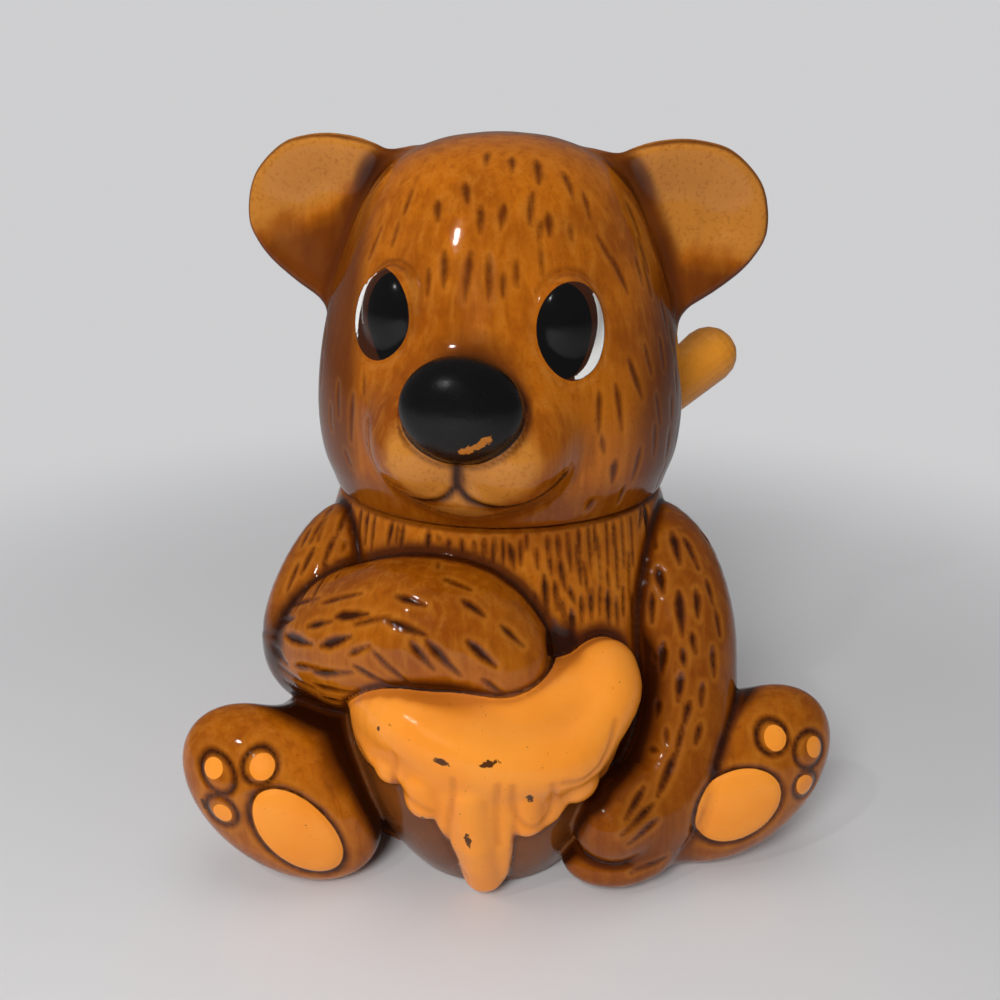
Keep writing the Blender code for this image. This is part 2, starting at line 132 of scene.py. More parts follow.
def profile_distance(outline):
    """A look-up of the distance to a closed outline of (radius, height) points turned round Z."""
    size, widest, bottom, top = 0.25, 60, -14, 150
    rs, zs = np.arange(0, widest, size), np.arange(bottom, top, size)
    r, z = np.meshgrid(rs, zs, indexing="ij")
    best = np.full(r.shape, 1e9)
    inside = np.zeros(r.shape, bool)
    pts = np.array(outline, float)
    for (x0, y0), (x1, y1) in zip(pts, np.roll(pts, -1, 0)):
        dx, dy = x1 - x0, y1 - y0
        length = dx * dx + dy * dy
        if length < 1e-9:
            continue
        if max(x0, x1) > 1e-6:
            t = np.clip(((r - x0) * dx + (z - y0) * dy) / length, 0, 1)
            best = np.minimum(best, (r - x0 - t * dx) ** 2 + (z - y0 - t * dy) ** 2)
        if y0 != y1:
            cross = x0 + (z - y0) / (y1 - y0) * dx
            inside ^= ((y0 > z) != (y1 > z)) & (r < cross)
    table = (np.where(inside, -1, 1) * np.sqrt(best)).astype(np.float32)

    def distance(p):
        fr = np.clip(np.hypot(p[:, 0], p[:, 1]) / size, 0, len(rs) - 1.001)
        fz = np.clip((p[:, 2] - bottom) / size, 0, len(zs) - 1.001)
        i, j = fr.astype(np.int32), fz.astype(np.int32)
        u, v = fr - i, fz - j
        a = table[i, j] * (1 - u) + table[i + 1, j] * u
        b = table[i, j + 1] * (1 - u) + table[i + 1, j + 1] * u
        return (a * (1 - v) + b * v).astype(np.float32)

    return distance


def curve_outline(points):
    """The same outline with a smooth curve through its points."""
    return [tuple(q) for q in smooth_path(points, 6)]


def add(d, p, form, blend):
    """Joins a form to the distances d at points p, with a fillet."""
    distance, low, high = form
    near = within(p, low - blend - 3, high + blend + 3)
    if near.any():
        d[near] = smin(d[near], distance(p[near]), blend)
    return d


# ------------ body

# Heights where the body ends and where the head starts, and the belly's largest radius.
NECK, SEAT = 67.0, 67.3
BELLY = 44.0
torso = profile_distance([(0, 80), *curve_outline([
    (33.2, 80), (33.0, 70), (33.1, 67.0), (34.3, 63.6), (36.2, 57.6), (38.9, 48.2), (42.0, 37.5),
    (44.0, 25.5), (43.8, 15.4), (42.2, 7.4), (40.2, 2.3), (38.0, -3.0)]), (38, -8), (0, -8)])
jar = profile_distance([(0, 90), (28, 90), (28, 60), *curve_outline([
    (28.0, 59), (31.9, 54.8), (35.1, 46.3), (37.8, 36.5), (39.0, 26.7), (38.2, 15.8), (35.1, 9.1),
    (30.4, 6.2)]), (28, 6), (0, 6)])


def body_path(shares, radius):
    """A path in shares of the belly's radius, of the neck's height and of a radius of its own."""
    return smooth_path([(x * BELLY, y * BELLY, z * NECK, r * radius) for x, y, z, r in shares])


HOLDING_ARM = limb(body_path([
    (0.60, -0.10, 0.80, 0.70), (0.69, -0.28, 0.82, 0.64), (0.73, -0.42, 0.76, 0.73),
    (0.752, -0.57, 0.64, 0.77), (0.762, -0.67, 0.475, 0.74), (0.74, -0.775, 0.335, 0.74),
    (0.64, -0.91, 0.232, 0.66), (0.49, -1.00, 0.212, 0.57), (0.40, -1.06, 0.212, 0.51)], 15))
UPPER_ARM = limb(smooth_path([
    (-26.5, -4, 54.5, 9.6), (-31, -11, 56, 9.3), (-34, -15.5, 52.5, 9.9), (-36.3, -18.5, 47, 10.6),
    (-36.5, -20, 42, 12)]))
FOREARM = limb(smooth_path([
    (-34.8, -18.5, 39.5, 14), (-27.3, -28.5, 44.2, 14.0), (-18.5, -34, 48.2, 13.8),
    (-9.6, -36.3, 48.6, 12.9), (-3.4, -39, 44.9, 10.5)]))
FINGER = ellipsoid((19.0, -44.7, 5.5), (10.6, 7.9, 5.4), turn(0, 0, 10))
# The leg at the viewer's right. The other is its mirror image.
LEG = [(0.50, -0.20, 0.24, 1.00), (0.72, -0.45, 0.25, 1.00), (0.90, -0.68, 0.26, 0.93)]
SOLE_RADII = np.array((21.2, 10.5, 13.7), np.float32)


def sole_axes(side):
    return turn(-16, -side * 37, side * 14)


def sole_centre(side):
    return np.array((side * 44, -37, 16.5), np.float32)


# Little pot: its axis leans a little, and its honey is laid over its rim.
POT_AXES = turn(0, -5, 0)
POT_PLACE = np.array((-2.8, -28.8, 0), np.float32)
POT_OUTLINE = [(24.6, 35.0), (26.2, 31.5), (25.9, 25.2), (24.4, 15.8), (21.0, 7.0), (16.8, 0.0)]
pot_curve = curve_outline(POT_OUTLINE)
pot_profile = profile_distance([(0, 35), *pot_curve, (16.0, -6), (0, -6)])
# The same wall, run on up and down for the honey to follow.
pot_wide = profile_distance([(0, 46), (24.6, 46), *pot_curve, (16.0, -10), (0, -10)])


def pot_local(p):
    return (p - POT_PLACE) @ POT_AXES


def on_pot(bearing, height, radius):
    local = np.array((radius * math.sin(bearing), -radius * math.cos(bearing), height))
    return POT_AXES @ local + POT_PLACE


# The lower edge of the honey: bearing round the pot from its front in degrees, and height.
HONEY_EDGE = [
    (-84, 34), (-64, 37.5), (-55.7, 34.7), (-48.7, 30.7), (-43.9, 29), (-37.4, 29.2), (-35.3, 27.8),
    (-31.5, 25.5), (-25.5, 23.8), (-23.1, 18.5), (-20, 15.2), (-17.6, 9.6), (-13.4, 4.1),
    (-5.8, 1.2), (3.5, 4.1), (5.5, 8.7), (7.1, 17), (11, 17.6), (16.7, 16.2), (24.9, 17.2),
    (30.7, 19.8), (32.5, 22.3), (41.7, 21.2), (52, 20.6), (57.5, 23.1), (60.5, 28.9), (66, 32),
    (84, 36)]
# Drips that stand out from the sheet of honey: bearing, upper and lower height, half width.
DRIPS = [
    (-9, 27, 5.5, 4.1), (13, 25, 19.5, 3.5), (-42, 31, 30.0, 3.2), (-27, 29, 25.5, 4.2),
    (36, 30, 24.5, 5.0), (47, 33, 27.0, 3.8)]
# The honey's roll over the rim, its heap under the hand, and its level inside the rim.
RIM = limb(smooth_path([
    (-25.0, -39.5, 37.0, 5.2), (-20.3, -46.4, 37.2, 5.9), (-12, -50.8, 34.1, 6.4),
    (-2, -52.2, 31.6, 6.2), (8, -50.8, 31.4, 6.1), (13.3, -46.6, 34.6, 5.8),
    (16.7, -42.4, 38.6, 6.1), (16.8, -39.0, 41.0, 6.0)]))
HEAP = limb(smooth_path([(2, -44, 37.5, 5.0), (8.5, -43, 38.6, 5.4), (14.6, -40.8, 40.0, 5.8)]))
LEVEL = ellipsoid((-4.9, -38, 31.5), (25.2, 16.5, 14.2))
# The sheet of honey on the pot's wall: half its thickness, its top, and the degrees that it
# reaches to each side of a bearing.
SHEET_HALF, SHEET_TOP, SHEET_REACH, SHEET_MIDDLE = 1.5, 33, 72, 2


def honey_sheet(p):
    q = pot_local(p)
    bearing = np.degrees(np.arctan2(q[:, 0], -q[:, 1]))
    low, after, before = (np.interp(bearing + aside, *zip(*HONEY_EDGE)) for aside in (0, 2, -2))
    radius = np.maximum(np.hypot(q[:, 0], q[:, 1]), 5)
    steep = (after - before) / 4 * PER_RADIAN / radius
    below = (low - q[:, 2]) / np.sqrt(1 + steep**2)
    side = (np.abs(bearing - SHEET_MIDDLE) - SHEET_REACH) * radius / PER_RADIAN
    sheet = smax(np.abs(pot_wide(q) - 0.2) - SHEET_HALF, np.maximum(below, side), 2.4)
    return smax(sheet, q[:, 2] - SHEET_TOP, 3).astype(np.float32)


def leg(side):
    thigh = limb(body_path([(side * x, y, z, r) for x, y, z, r in LEG], 14))
    return thigh, ellipsoid(sole_centre(side), SOLE_RADII, sole_axes(side))


def body_parts(p):
    """Distances to the torso, both legs, the holding arm, the upper arm, the little pot, the
    forearm and the finger. The leg at the viewer's left comes first."""
    def alone(*forms):
        d = everywhere(p)
        for form in forms:
            d = add(d, p, form, 4.0)
        return d

    pot = everywhere(p)
    near = within(p, (-40, -66, -8), (32, 6, 52))
    pot[near] = pot_profile(pot_local(p[near]))
    return [torso(p), alone(*leg(-1)), alone(*leg(1)), alone(HOLDING_ARM), alone(UPPER_ARM), pot,
            alone(FOREARM), alone(FINGER)]


# Where two of them stand in that list, the fillet that joins each but the torso to those before
# it, and how dark each is painted and, last, the honey: darker glaze and painted shade, more on
# the limbs than on the torso.
ARM_PART, FINGER_PART = 3, 7
FILLETS = (2.5, 2.5, 0.9, 0.9, 1.0, 1.1, 0.9)
PART_DARK = np.array((0.12, 0.20, 0.40, 0.60, 0.46, 0.46, 0.38, 0.56, 0.46))


def hand_side(p):
    """How far a point lies to the hand's outer side, where the finger joins it without a groove."""
    return step(p[:, 0], 19.5, 27.0) * step(p[:, 2], 22, 14)


def body_rest(p):
    """The casting without its honey."""
    d, *others, finger = body_parts(p)
    for part, blend in zip(others, FILLETS):
        d = smin(d, part, blend)
    return smin(d, finger, FILLETS[-1] + 6.0 * hand_side(p))


def drip(bearing, top, low, width):
    """A form that hangs down the pot's wall, sunk into it by a part of its width."""
    radii, heights = zip(*POT_OUTLINE[::-1])
    path = [(*on_pot(math.radians(bearing), z, np.interp(z, heights, radii) - width * 0.22), width)
            for z in np.linspace(top, low, 5)]
    return limb(np.array(path, np.float32))


def honey(p):
    d = everywhere(p)
    near = within(p, (-42, -68, -8), (34, 4, 60))
    d[near] = honey_sheet(p[near])
    for form, blend in (RIM, 2.5), (HEAP, 3.0), (LEVEL, 3.0):
        d = add(d, p, form, blend)
    for row in DRIPS:
        d = add(d, p, drip(*row), 0.6)
    return d


def body(p):
    d = smin(body_rest(p), honey(p), 0.7)
    d = smax(d, p[:, 2] - NECK, 1.6)
    d = smax(d, -jar(p), 1.4)
    return smax(d, -p[:, 2], 1.0)


# ------------ head

def over_seat(points):
    return [(r, SEAT + z) for r, z in points]


skull = profile_distance([*curve_outline(over_seat([
    (0.0, 68.0), (3.7, 67.86), (11.0, 66.8), (18.8, 63.6), (24.8, 57.8), (29.1, 49.6), (32.9, 39.4),
    (35.7, 27.9), (36.9, 17.2), (36.4, 8.6), (34.6, 2.7), (32.6, -3.0)])),
    *over_seat([(32, -6), (0, -6)])])
head_hollow = profile_distance([(0, SEAT + 63.5), *curve_outline(over_seat([
    (6.5, 63.2), (16.2, 57.8), (23.9, 48.3), (28.4, 35.4), (30.0, 22.4), (29.1, 12.9),
    (23.5, 9.0)])), *over_seat([(23.5, -12), (0, -12)])])
# The face and the ears have axes of their own, as the head looks a little to one side.
MIDDLE = np.array((0, 0, SEAT + 36.3), np.float32)
FACE = turn(0, 2.2, -11.5)
EARS = turn(0, 1.0, -9.0)


def face_local(p):
    return (p - MIDDLE) @ FACE


def from_face(x, y, z):
    return FACE @ np.array((x, y, z), np.float32) + MIDDLE


# Degrees from the middle of the face to an eye, and how far the eye's middle is from the head's.
EYE_BEARING, EYE_OUT = 28.7, 34.9 - 3.6
EYE_RADII = (6.6, 4.6, 8.3)


def eye_place(side):
    """The middle and the axes of an eye."""
    bearing = math.radians(side * EYE_BEARING)
    place = from_face(EYE_OUT * math.sin(bearing), -EYE_OUT * math.cos(bearing), 0.5)
    return place, FACE @ turn(0, 0, side * EYE_BEARING)


NOSE = ellipsoid(from_face(-0.3, -43.0, -12.0), (10.4, 6.8, 9.0), FACE)
MUZZLE = ellipsoid(from_face(0, -29.0, -17.0), (18.2, 14.8, 12.2), FACE)
CHIN = ellipsoid(from_face(0, -31.8, -27.4), (11.0, 9.6, 6.3), FACE)
LIPS = [ellipsoid(from_face(x, -33.4, -20.6), (10.4, 11.4, 9.7), FACE)[0] for x in (-7.3, 7.3)]
# Outline of an ear in its own plane: outwards and up from the middle of the head.
EAR_FAN = [
    (17.6, 27.6), (21.2, 28.3), (25.3, 29.6), (29.7, 30.6), (34.5, 31), (39.2, 30.5), (43.3, 29.3),
    (47.2, 26.5), (50.3, 22.8), (51.8, 18.2), (51.9, 13.4), (50.1, 9.6), (47.2, 6.2), (42.6, 2.6),
    (38.5, 0), (35.5, -2), (30, -4.5), (20, -2), (12, 10), (14, 24)]
fan = profile_distance(curve_outline(EAR_FAN))


def ear_local(p, side):
    """Outwards, back and up in an ear's own plane."""
    centre = np.array((side * 36.2, 2.0, 15.2), np.float32)
    q = ((p - MIDDLE) @ EARS - centre) @ turn(0, 0, side * 10) + centre
    return side * q[:, 0], q[:, 1], q[:, 2]


def ear(p, side):
    """A fan-shaped shell, hollowed in front."""
    out, back, up = ear_local(p, side)
    f = fan(np.stack([out, np.zeros_like(out), up], 1))
    front = 0.4 + 3.2 * step(-f, 0.5, 12.0) + 2.0 * step(30 - out, 0, 10)
    rear = 4.2 + 2.6 * step(-f, 0, 8)
    return smax(smax(f, front - back, 2.0), back - rear, 2.4)


def head_rest(p):
    d = skull(p)
    for side in (-1, 1):
        near = (p[:, 0] * side > 5) & (p[:, 2] > 80) & (np.abs(p[:, 1]) < 26)
        d[near] = smin(d[near], ear(p[near], side), 4.0)
    d = add(d, p, MUZZLE, 5.0)
    d = add(d, p, CHIN, 2.2)
    return smin(d, np.minimum(LIPS[0](p), LIPS[1](p)), 3.0)


# The notch for the dipper: its bearing in degrees, the radius and the top of its arch, and how far
# from the head's axis it starts.
NOTCH_BEARING, NOTCH_RADIUS, NOTCH_TOP, NOTCH_START = 21, 6.53, 86.2, 14
# The ring that sits in the body's mouth: its radius and half its height.
RING_RADIUS, RING_HALF = 27, 5.0


def notch(p):
    a = math.radians(NOTCH_BEARING)
    out = p[:, 0] * math.cos(a) + p[:, 1] * math.sin(a)
    across = -p[:, 0] * math.sin(a) + p[:, 1] * math.cos(a)
    above = p[:, 2] - (NOTCH_TOP - NOTCH_RADIUS)
    arch = np.where(above > 0, np.hypot(across, above), np.abs(across)) - NOTCH_RADIUS
    return smax(arch, NOTCH_START - out, 1)


def head(p):
    d = head_rest(p)
    for side in (-1, 1):
        place, axes = eye_place(side)
        d = add(d, p, ellipsoid(place, EYE_RADII, axes), 0.9)
    d = add(d, p, NOSE, 0.9)
    radius, above = np.hypot(p[:, 0], p[:, 1]), p[:, 2] - (SEAT - 1)
    ring = smax(radius - RING_RADIUS, np.abs(above) - RING_HALF, 0.8)
    d = np.minimum(smax(d, SEAT - p[:, 2], 1.2), ring)
    d = smax(d, -head_hollow(p), 1.2)
    return smax(d, -notch(p), 0.9)


# ------------ surfaces

def surface(field, low, high, size):
    """Points and quads of the surface where the field is zero."""
    n = [int(math.ceil((b - a) / size)) + 1 for a, b in zip(low, high)]
    xs = [np.float32(a) + size * np.arange(k, dtype=np.float32) for a, k in zip(low, n)]
    d = np.empty(n, np.float32)
    for i in range(0, n[0], 16):
        block = np.stack(np.meshgrid(xs[0][i:i + 16], *xs[1:], indexing="ij"), -1).reshape(-1, 3)
        d[i:i + 16] = field(block).reshape(-1, n[1], n[2])
    cells = [k - 1 for k in n]
    total = np.zeros((*cells, 3), np.float32)
    count = np.zeros(cells, np.uint8)
    crossings = []
    for axis in range(3):
        a, b = np.moveaxis(d, axis, 0)[:-1], np.moveaxis(d, axis, 0)[1:]
        cross = (a < 0) != (b < 0)
        t = np.where(cross, a / np.where(cross, a - b, 1), 0)
        crossings.append((np.moveaxis(cross, 0, axis), np.moveaxis(a < 0, 0, axis)))
        cross, t = np.moveaxis(cross, 0, axis), np.moveaxis(t, 0, axis)
        others = [k for k in range(3) if k != axis]
        for shifts in ((0, 0), (0, 1), (1, 0), (1, 1)):
            cut = [slice(None)] * 3
            for k, shift in zip(others, shifts):
                cut[k] = slice(shift, shift + cells[k])
            c = cross[tuple(cut)]
            count += c
            total[..., axis] += t[tuple(cut)]
            for k, shift in zip(others, shifts):
                total[..., k] += c * shift
    used = count > 0
    index = np.full(cells, -1, np.int64)
    index[used] = np.arange(used.sum())
    place = np.stack(np.nonzero(used), -1) + total[used] / count[used][:, None]
    points = np.array(low, np.float32) + place.astype(np.float32) * size
    quads = []
    for axis, (cross, inside) in enumerate(crossings):
        e = np.stack(np.nonzero(cross), -1)
        u, v = [(1, 2), (2, 0), (0, 1)][axis]
        keep = (e[:, u] > 0) & (e[:, v] > 0) & (e[:, u] < cells[u]) & (e[:, v] < cells[v])
        e = e[keep]
        corners = []
        for du, dv in ((1, 1), (0, 1), (0, 0), (1, 0)):
            c = e.copy()
            c[:, u] -= du
            c[:, v] -= dv
            corners.append(index[tuple(c.T)])
        quad = np.stack(corners, -1)
        flip = ~inside[tuple(e.T)]
        quad[flip] = quad[flip][:, ::-1]
        quads.append(quad)
    return points, np.concatenate(quads)


def gradient(field, p, h=0.15):
    axes = np.eye(3, dtype=np.float32)
    return np.stack([field(p + h * axis) - field(p - h * axis) for axis in axes], -1) / (2 * h)


def settle(field, p, rounds=2):
    """Moves points onto the surface along its slope."""
    for _ in range(rounds):
        g = gradient(field, p)
        move = field(p) / np.maximum((g**2).sum(1), 0.2)
        p = p - np.clip(move, -0.5, 0.5)[:, None] * g
    return p.astype(np.float32)


def stroke_distance(p, strokes, reach=4.0):
    """The distance past the nearest stroke's edge. Each is two ends and a half width at each."""
    best = everywhere(p, reach)
    for a, b, ra, rb in strokes:
        low, high = np.minimum(a, b) - reach, np.maximum(a, b) + reach
        near = np.nonzero(within(p, low, high))[0]
        if not len(near):
            continue
        q, ab = p[near] - a, b - a
        t = np.clip((q @ ab) / (ab @ ab), 0, 1)
        d = np.linalg.norm(q - t[:, None] * ab, axis=1) - (ra + (rb - ra) * t)
        best[near] = np.minimum(best[near], d)
    return best


def add_object(name, data):
    made = bpy.data.objects.new(name, data)
    bpy.context.scene.collection.objects.link(made)
    return made


def make_mesh(name, points, quads, attributes, body_name, material, replaced):
    mesh = bpy.data.meshes.new(name)
    mesh.vertices.add(len(points))
    mesh.vertices.foreach_set("co", (points * MM).ravel())
    mesh.loops.add(quads.size)
    mesh.loops.foreach_set("vertex_index", quads.ravel().astype(np.int32))
    mesh.polygons.add(len(quads))
    mesh.polygons.foreach_set("loop_start", np.arange(0, quads.size, 4, dtype=np.int32))
    mesh.update(calc_edges=True)
    mesh.validate()
    mesh.shade_smooth()
    for key, values in attributes.items():
        layer = mesh.attributes.new(key, "FLOAT", "POINT")
        layer.data.foreach_set("value", values.astype(np.float32))
    mesh.materials.append(material)
    made = add_object(name, mesh)
    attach(made, body_name)
    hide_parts(replaced)


# The materials darken closed-in places from this, as pooled glaze and painted shade.
def closed_in(field, p, n, reaches=(1.5, 3.5, 7.0)):
    """How far the surface is closed in round each point: 0 where it is open, 1 in a deep crease."""
    total = np.zeros(len(p), np.float32)
    for reach in reaches:
        total += np.clip(1 - field(p + n * reach) / reach, -0.5, 1)
    return total / len(reaches)


def build(field, low, high):
    """The points, quads and normals of a field's surface, and how far it is closed in."""
    points, quads = surface(field, low, high, CELL)
    points = settle(field, points)
    slope = gradient(field, points)
    normal = slope / np.maximum(np.linalg.norm(slope, axis=1), 1e-6)[:, None]
    normal = normal.astype(np.float32)
    return points, quads, normal, closed_in(field, points, normal)


def carve(points, normal, lines):
    """Pushes in what lies under lines, each with its distances, its depth and its soft edge."""
    for distance, depth, soft in lines:
        points = points - normal * (depth * step(-distance, -soft, soft))[:, None]
    return points


# ------------ fur strokes and carved lines

# Strokes cut into the front: x and z of both ends, and half the width.
HEAD_FRONT = [
    (5.2, 129.8, 5.1, 126.8, 0.84), (0.8, 130.5, 0.5, 128.6, 0.7), (-3.4, 131.4, -3.9, 129.6, 0.61),
    (-7.5, 126.2, -7.3, 123.8, 0.77), (-12.3, 123.3, -12.4, 120.8, 0.82),
    (-5.1, 122.4, -5.3, 119, 0.67), (-1.2, 122.6, -1.8, 119.7, 0.62),
    (3.7, 124.4, 3.1, 120.4, 0.72), (6.5, 121.3, 6.5, 118.4, 0.85), (9.9, 127.8, 11, 124.3, 0.7),
    (13.3, 124.3, 13.9, 121.2, 0.51), (10.3, 119.5, 10.4, 117.5, 0.4), (4.9, 120, 4.6, 117.6, 0.36),
    (-16.9, 124.7, -18, 121.8, 0.37), (-19.4, 119.3, -20.3, 116.4, 0.32),
    (-11.4, 114.9, -11.6, 110.3, 0.84), (-7.2, 114.6, -8.1, 108.4, 0.74),
    (-3.9, 114.3, -4.1, 108.5, 0.61), (-1.6, 111.7, -1.7, 108.9, 0.43),
    (0.6, 113.7, 0.5, 110.5, 0.39), (-14.1, 112.2, -14.4, 109, 0.35),
    (4.8, 116.4, 4.9, 112.4, 0.35), (18.4, 113.4, 20.7, 108.6, 0.64),
    (15.6, 117.3, 17.9, 113.4, 0.41), (23.2, 113, 24.1, 109.5, 0.38),
    (21.2, 96.1, 23.5, 90.3, 0.78), (24.5, 98.2, 25.7, 94, 0.37), (15, 91.2, 15, 85.5, 0.63),
    (18.4, 92.1, 19.5, 85.5, 0.63), (15.7, 83.8, 16.1, 81.4, 0.5), (18.5, 78.7, 18.2, 75.5, 1.06),
    (23.6, 79.7, 22.6, 74.9, 0.61), (26.9, 83.3, 27, 78.7, 0.43), (14.5, 72, 13.9, 70.4, 0.6),
    (27.1, 89, 28, 84.4, 0.38), (20.9, 73.2, 20.1, 70.5, 0.43), (-28.4, 89.1, -29, 82.2, 0.56),
    (-31.2, 90.6, -31.4, 85.7, 0.33), (-26, 93.7, -26.1, 91.1, 0.32),
    (-33.1, 86, -33.1, 82.5, 0.29), (-30.3, 78.6, -29.4, 76.3, 0.34),
    (-22.6, 118.3, -24.5, 114, 0.33)]
BODY_FRONT = [
    (-28.3, 65.8, -28.7, 62.4, 0.46), (-26.9, 65.8, -27.5, 61.2, 0.45),
    (-25.5, 65.8, -26.2, 60.5, 0.45), (-24.2, 65.8, -24.9, 60.4, 0.44),
    (-22.1, 65.8, -22.8, 62.4, 0.67), (-20, 65.6, -20.5, 62.4, 0.61),
    (-17.4, 65.5, -17.6, 62.3, 0.6), (-15.3, 65.6, -15.5, 62.8, 0.72),
    (-11.6, 64.7, -11.8, 63, 0.53), (-7, 64.7, -7, 63.1, 0.41), (-3.4, 65.1, -3.7, 61.5, 0.59),
    (-0.5, 64, 0.1, 60.6, 0.71), (4.2, 63.2, 4.4, 60.4, 0.47), (8.7, 60.6, 9.4, 56.5, 0.71),
    (6.6, 61.9, 7.1, 59, 0.41), (5.6, 58.1, 6, 52, 0.77), (10.4, 55.8, 11.3, 53.4, 0.54),
    (14.6, 54.5, 14.6, 50.5, 0.67), (18, 53.5, 18.1, 48.5, 0.74), (21.3, 53.4, 21.2, 49.4, 0.37),
    (10.7, 51.7, 10.9, 47.4, 1.02), (5.4, 52.8, 5.9, 49.9, 0.47), (7.3, 50.5, 7.7, 47.7, 0.42),
    (3.7, 55.7, 4.4, 52.6, 0.41), (19.6, 65.3, 19.5, 62, 0.37), (15.6, 65.8, 15.4, 62.3, 0.3),
    (12.3, 65.7, 12.5, 62.3, 0.3), (2.5, 65.8, 2.4, 63.9, 0.29), (-31.7, 64.3, -32.7, 61.9, 0.52),
    (-38.7, 61.5, -39.8, 59.7, 0.45), (-30.6, 65.8, -31.4, 64.6, 0.39),
    (27.2, 65.8, 28.3, 60.6, 1.29), (32.1, 61.2, 32.4, 57.7, 0.96), (28.3, 56.1, 28.7, 53.2, 1.13),
    (31.5, 52.5, 31.6, 46.8, 1.06), (26.7, 51.8, 26.4, 48.1, 0.69), (35, 52.9, 34.8, 49.5, 0.69),
    (28.1, 43.9, 27.7, 39.3, 1.12), (31.5, 43.5, 31.8, 41.2, 0.56), (33.4, 46.3, 33.9, 43.5, 0.62),
    (37.5, 43.2, 37.7, 39, 0.63), (26.1, 65.8, 25.5, 63.5, 0.45), (26.3, 57.7, 26, 55.1, 0.44),
    (-44.1, 47.5, -40.7, 49.8, 0.89), (-41.7, 46.6, -37.1, 47.9, 1.18),
    (-34.1, 48.9, -29.5, 51.6, 1.18), (-31.3, 54.2, -26.5, 55.7, 1.04),
    (-37, 50.7, -33.1, 52.8, 0.72), (-45.3, 42.4, -42.4, 41, 1.09),
    (-20.3, 58.9, -16.5, 58.2, 0.73), (-22, 55.4, -16.6, 54, 0.95), (-18.2, 52, -15.1, 48.1, 0.72),
    (-15.2, 52.2, -10.7, 47, 0.94), (-8.4, 52.3, -4.6, 48.6, 0.94), (-9.1, 58.4, -6.1, 56.5, 0.83),
    (-35.7, 42.9, -29.8, 45, 0.9), (-29, 49, -26.1, 50.9, 0.46), (-41, 51.2, -36, 54.4, 0.5),
    (-33.9, 55, -27.8, 57.9, 0.41), (-27.7, 54.1, -22.6, 56, 0.4), (-40.1, 42, -36, 43.8, 0.56),
    (26.6, 42.2, 26.7, 40.8, 0.46), (31.2, 38.9, 30.6, 35, 0.84), (35.2, 37.1, 34.9, 34.1, 0.5),
    (27.1, 33.8, 26.8, 31.5, 0.85), (32.5, 34.1, 31.4, 30.8, 0.73), (34.4, 30.5, 33.4, 28, 0.65),
    (31, 30.2, 29.6, 26.1, 0.5), (28.9, 25.5, 26.6, 21.6, 0.84), (25.3, 26.1, 26.3, 26.1, 0.58),
    (28.2, 29.5, 28.1, 27.7, 0.31), (-21, 65.6, -21.4, 63, 0.4), (-13.4, 65, -13.6, 62.2, 0.45),
    (-9.2, 64.8, -9.3, 62.6, 0.4), (-5.2, 64.9, -5.4, 62, 0.45), (-1.8, 65, -1.9, 61.5, 0.4),
    (1.4, 64.6, 1.3, 61.2, 0.45), (6.4, 65.2, 6.5, 62.4, 0.4), (8.3, 65, 8.5, 61.8, 0.45),
    (10.2, 64.9, 10.7, 59.4, 0.3), (12, 62.6, 12.6, 57, 0.4), (14.3, 65.4, 14.6, 58.8, 0.22),
    (16.2, 63.4, 16.5, 57.4, 0.26), (18, 65.6, 18.1, 59.2, 0.2), (19.9, 62.6, 20.1, 55, 0.3),
    (21.4, 65.4, 21.5, 58.2, 0.22), (22.7, 58.8, 22.6, 52.4, 0.25), (23.5, 64.6, 23.6, 58, 0.2),
    (7.6, 57, 7.9, 53, 0.5), (9, 53.8, 9.2, 50.5, 0.45), (12.6, 53.6, 12.7, 49.6, 0.5),
    (13.3, 59.6, 13.8, 55.4, 0.34), (16.4, 55, 16.3, 50.8, 0.36), (18, 57.4, 18.3, 54.2, 0.32),
    (19.7, 52, 19.9, 48, 0.42), (23.2, 51.4, 23.2, 48, 0.3), (26.5, 8, 21, 6.6, 0.45),
    (22.6, 21.4, 19.2, 18.9, 0.6), (23.7, 19.2, 18.4, 16.4, 0.62), (24.4, 16.8, 19.8, 14.4, 0.55),
    (27.6, 24, 25.6, 20.8, 0.5), (-43.5, 39, -37.5, 38.4, 0.6), (-36, 39.6, -30, 40.4, 0.7),
    (-42.5, 35.6, -36.5, 34.6, 0.6), (-34.5, 36.4, -29.5, 36.8, 0.6), (-40, 32.6, -34, 32.2, 0.5),
    (-28, 46.4, -23, 44, 0.6), (-24.5, 49.5, -20, 45.5, 0.6), (-26, 42, -21.5, 38.8, 0.6),
    (-19.5, 44.5, -16, 40.6, 0.6), (-6, 45.5, -3, 43, 0.5), (-2.5, 54, 0.5, 51, 0.5),
    (-12, 61, -8.5, 59.9, 0.45), (-34.6, 64.6, -36.4, 61.4, 0.55), (-33.6, 61.2, -35.2, 57.8, 0.5),
    (-37.6, 59.4, -39.4, 56.2, 0.5), (-34.8, 57.2, -36.8, 53.8, 0.5),
    (-31.4, 60.2, -32.4, 57.4, 0.4), (-40.6, 56.6, -42.2, 53.2, 0.5),
    (-38.2, 54.2, -40.2, 51.2, 0.45), (-36.4, 63, -38, 60.6, 0.4), (27.6, 63.6, 28.4, 59.6, 1),
    (34.6, 60.2, 36, 56.6, 0.6), (37.6, 54, 38.2, 51, 0.5), (38.8, 49, 39.2, 45.6, 0.5)]
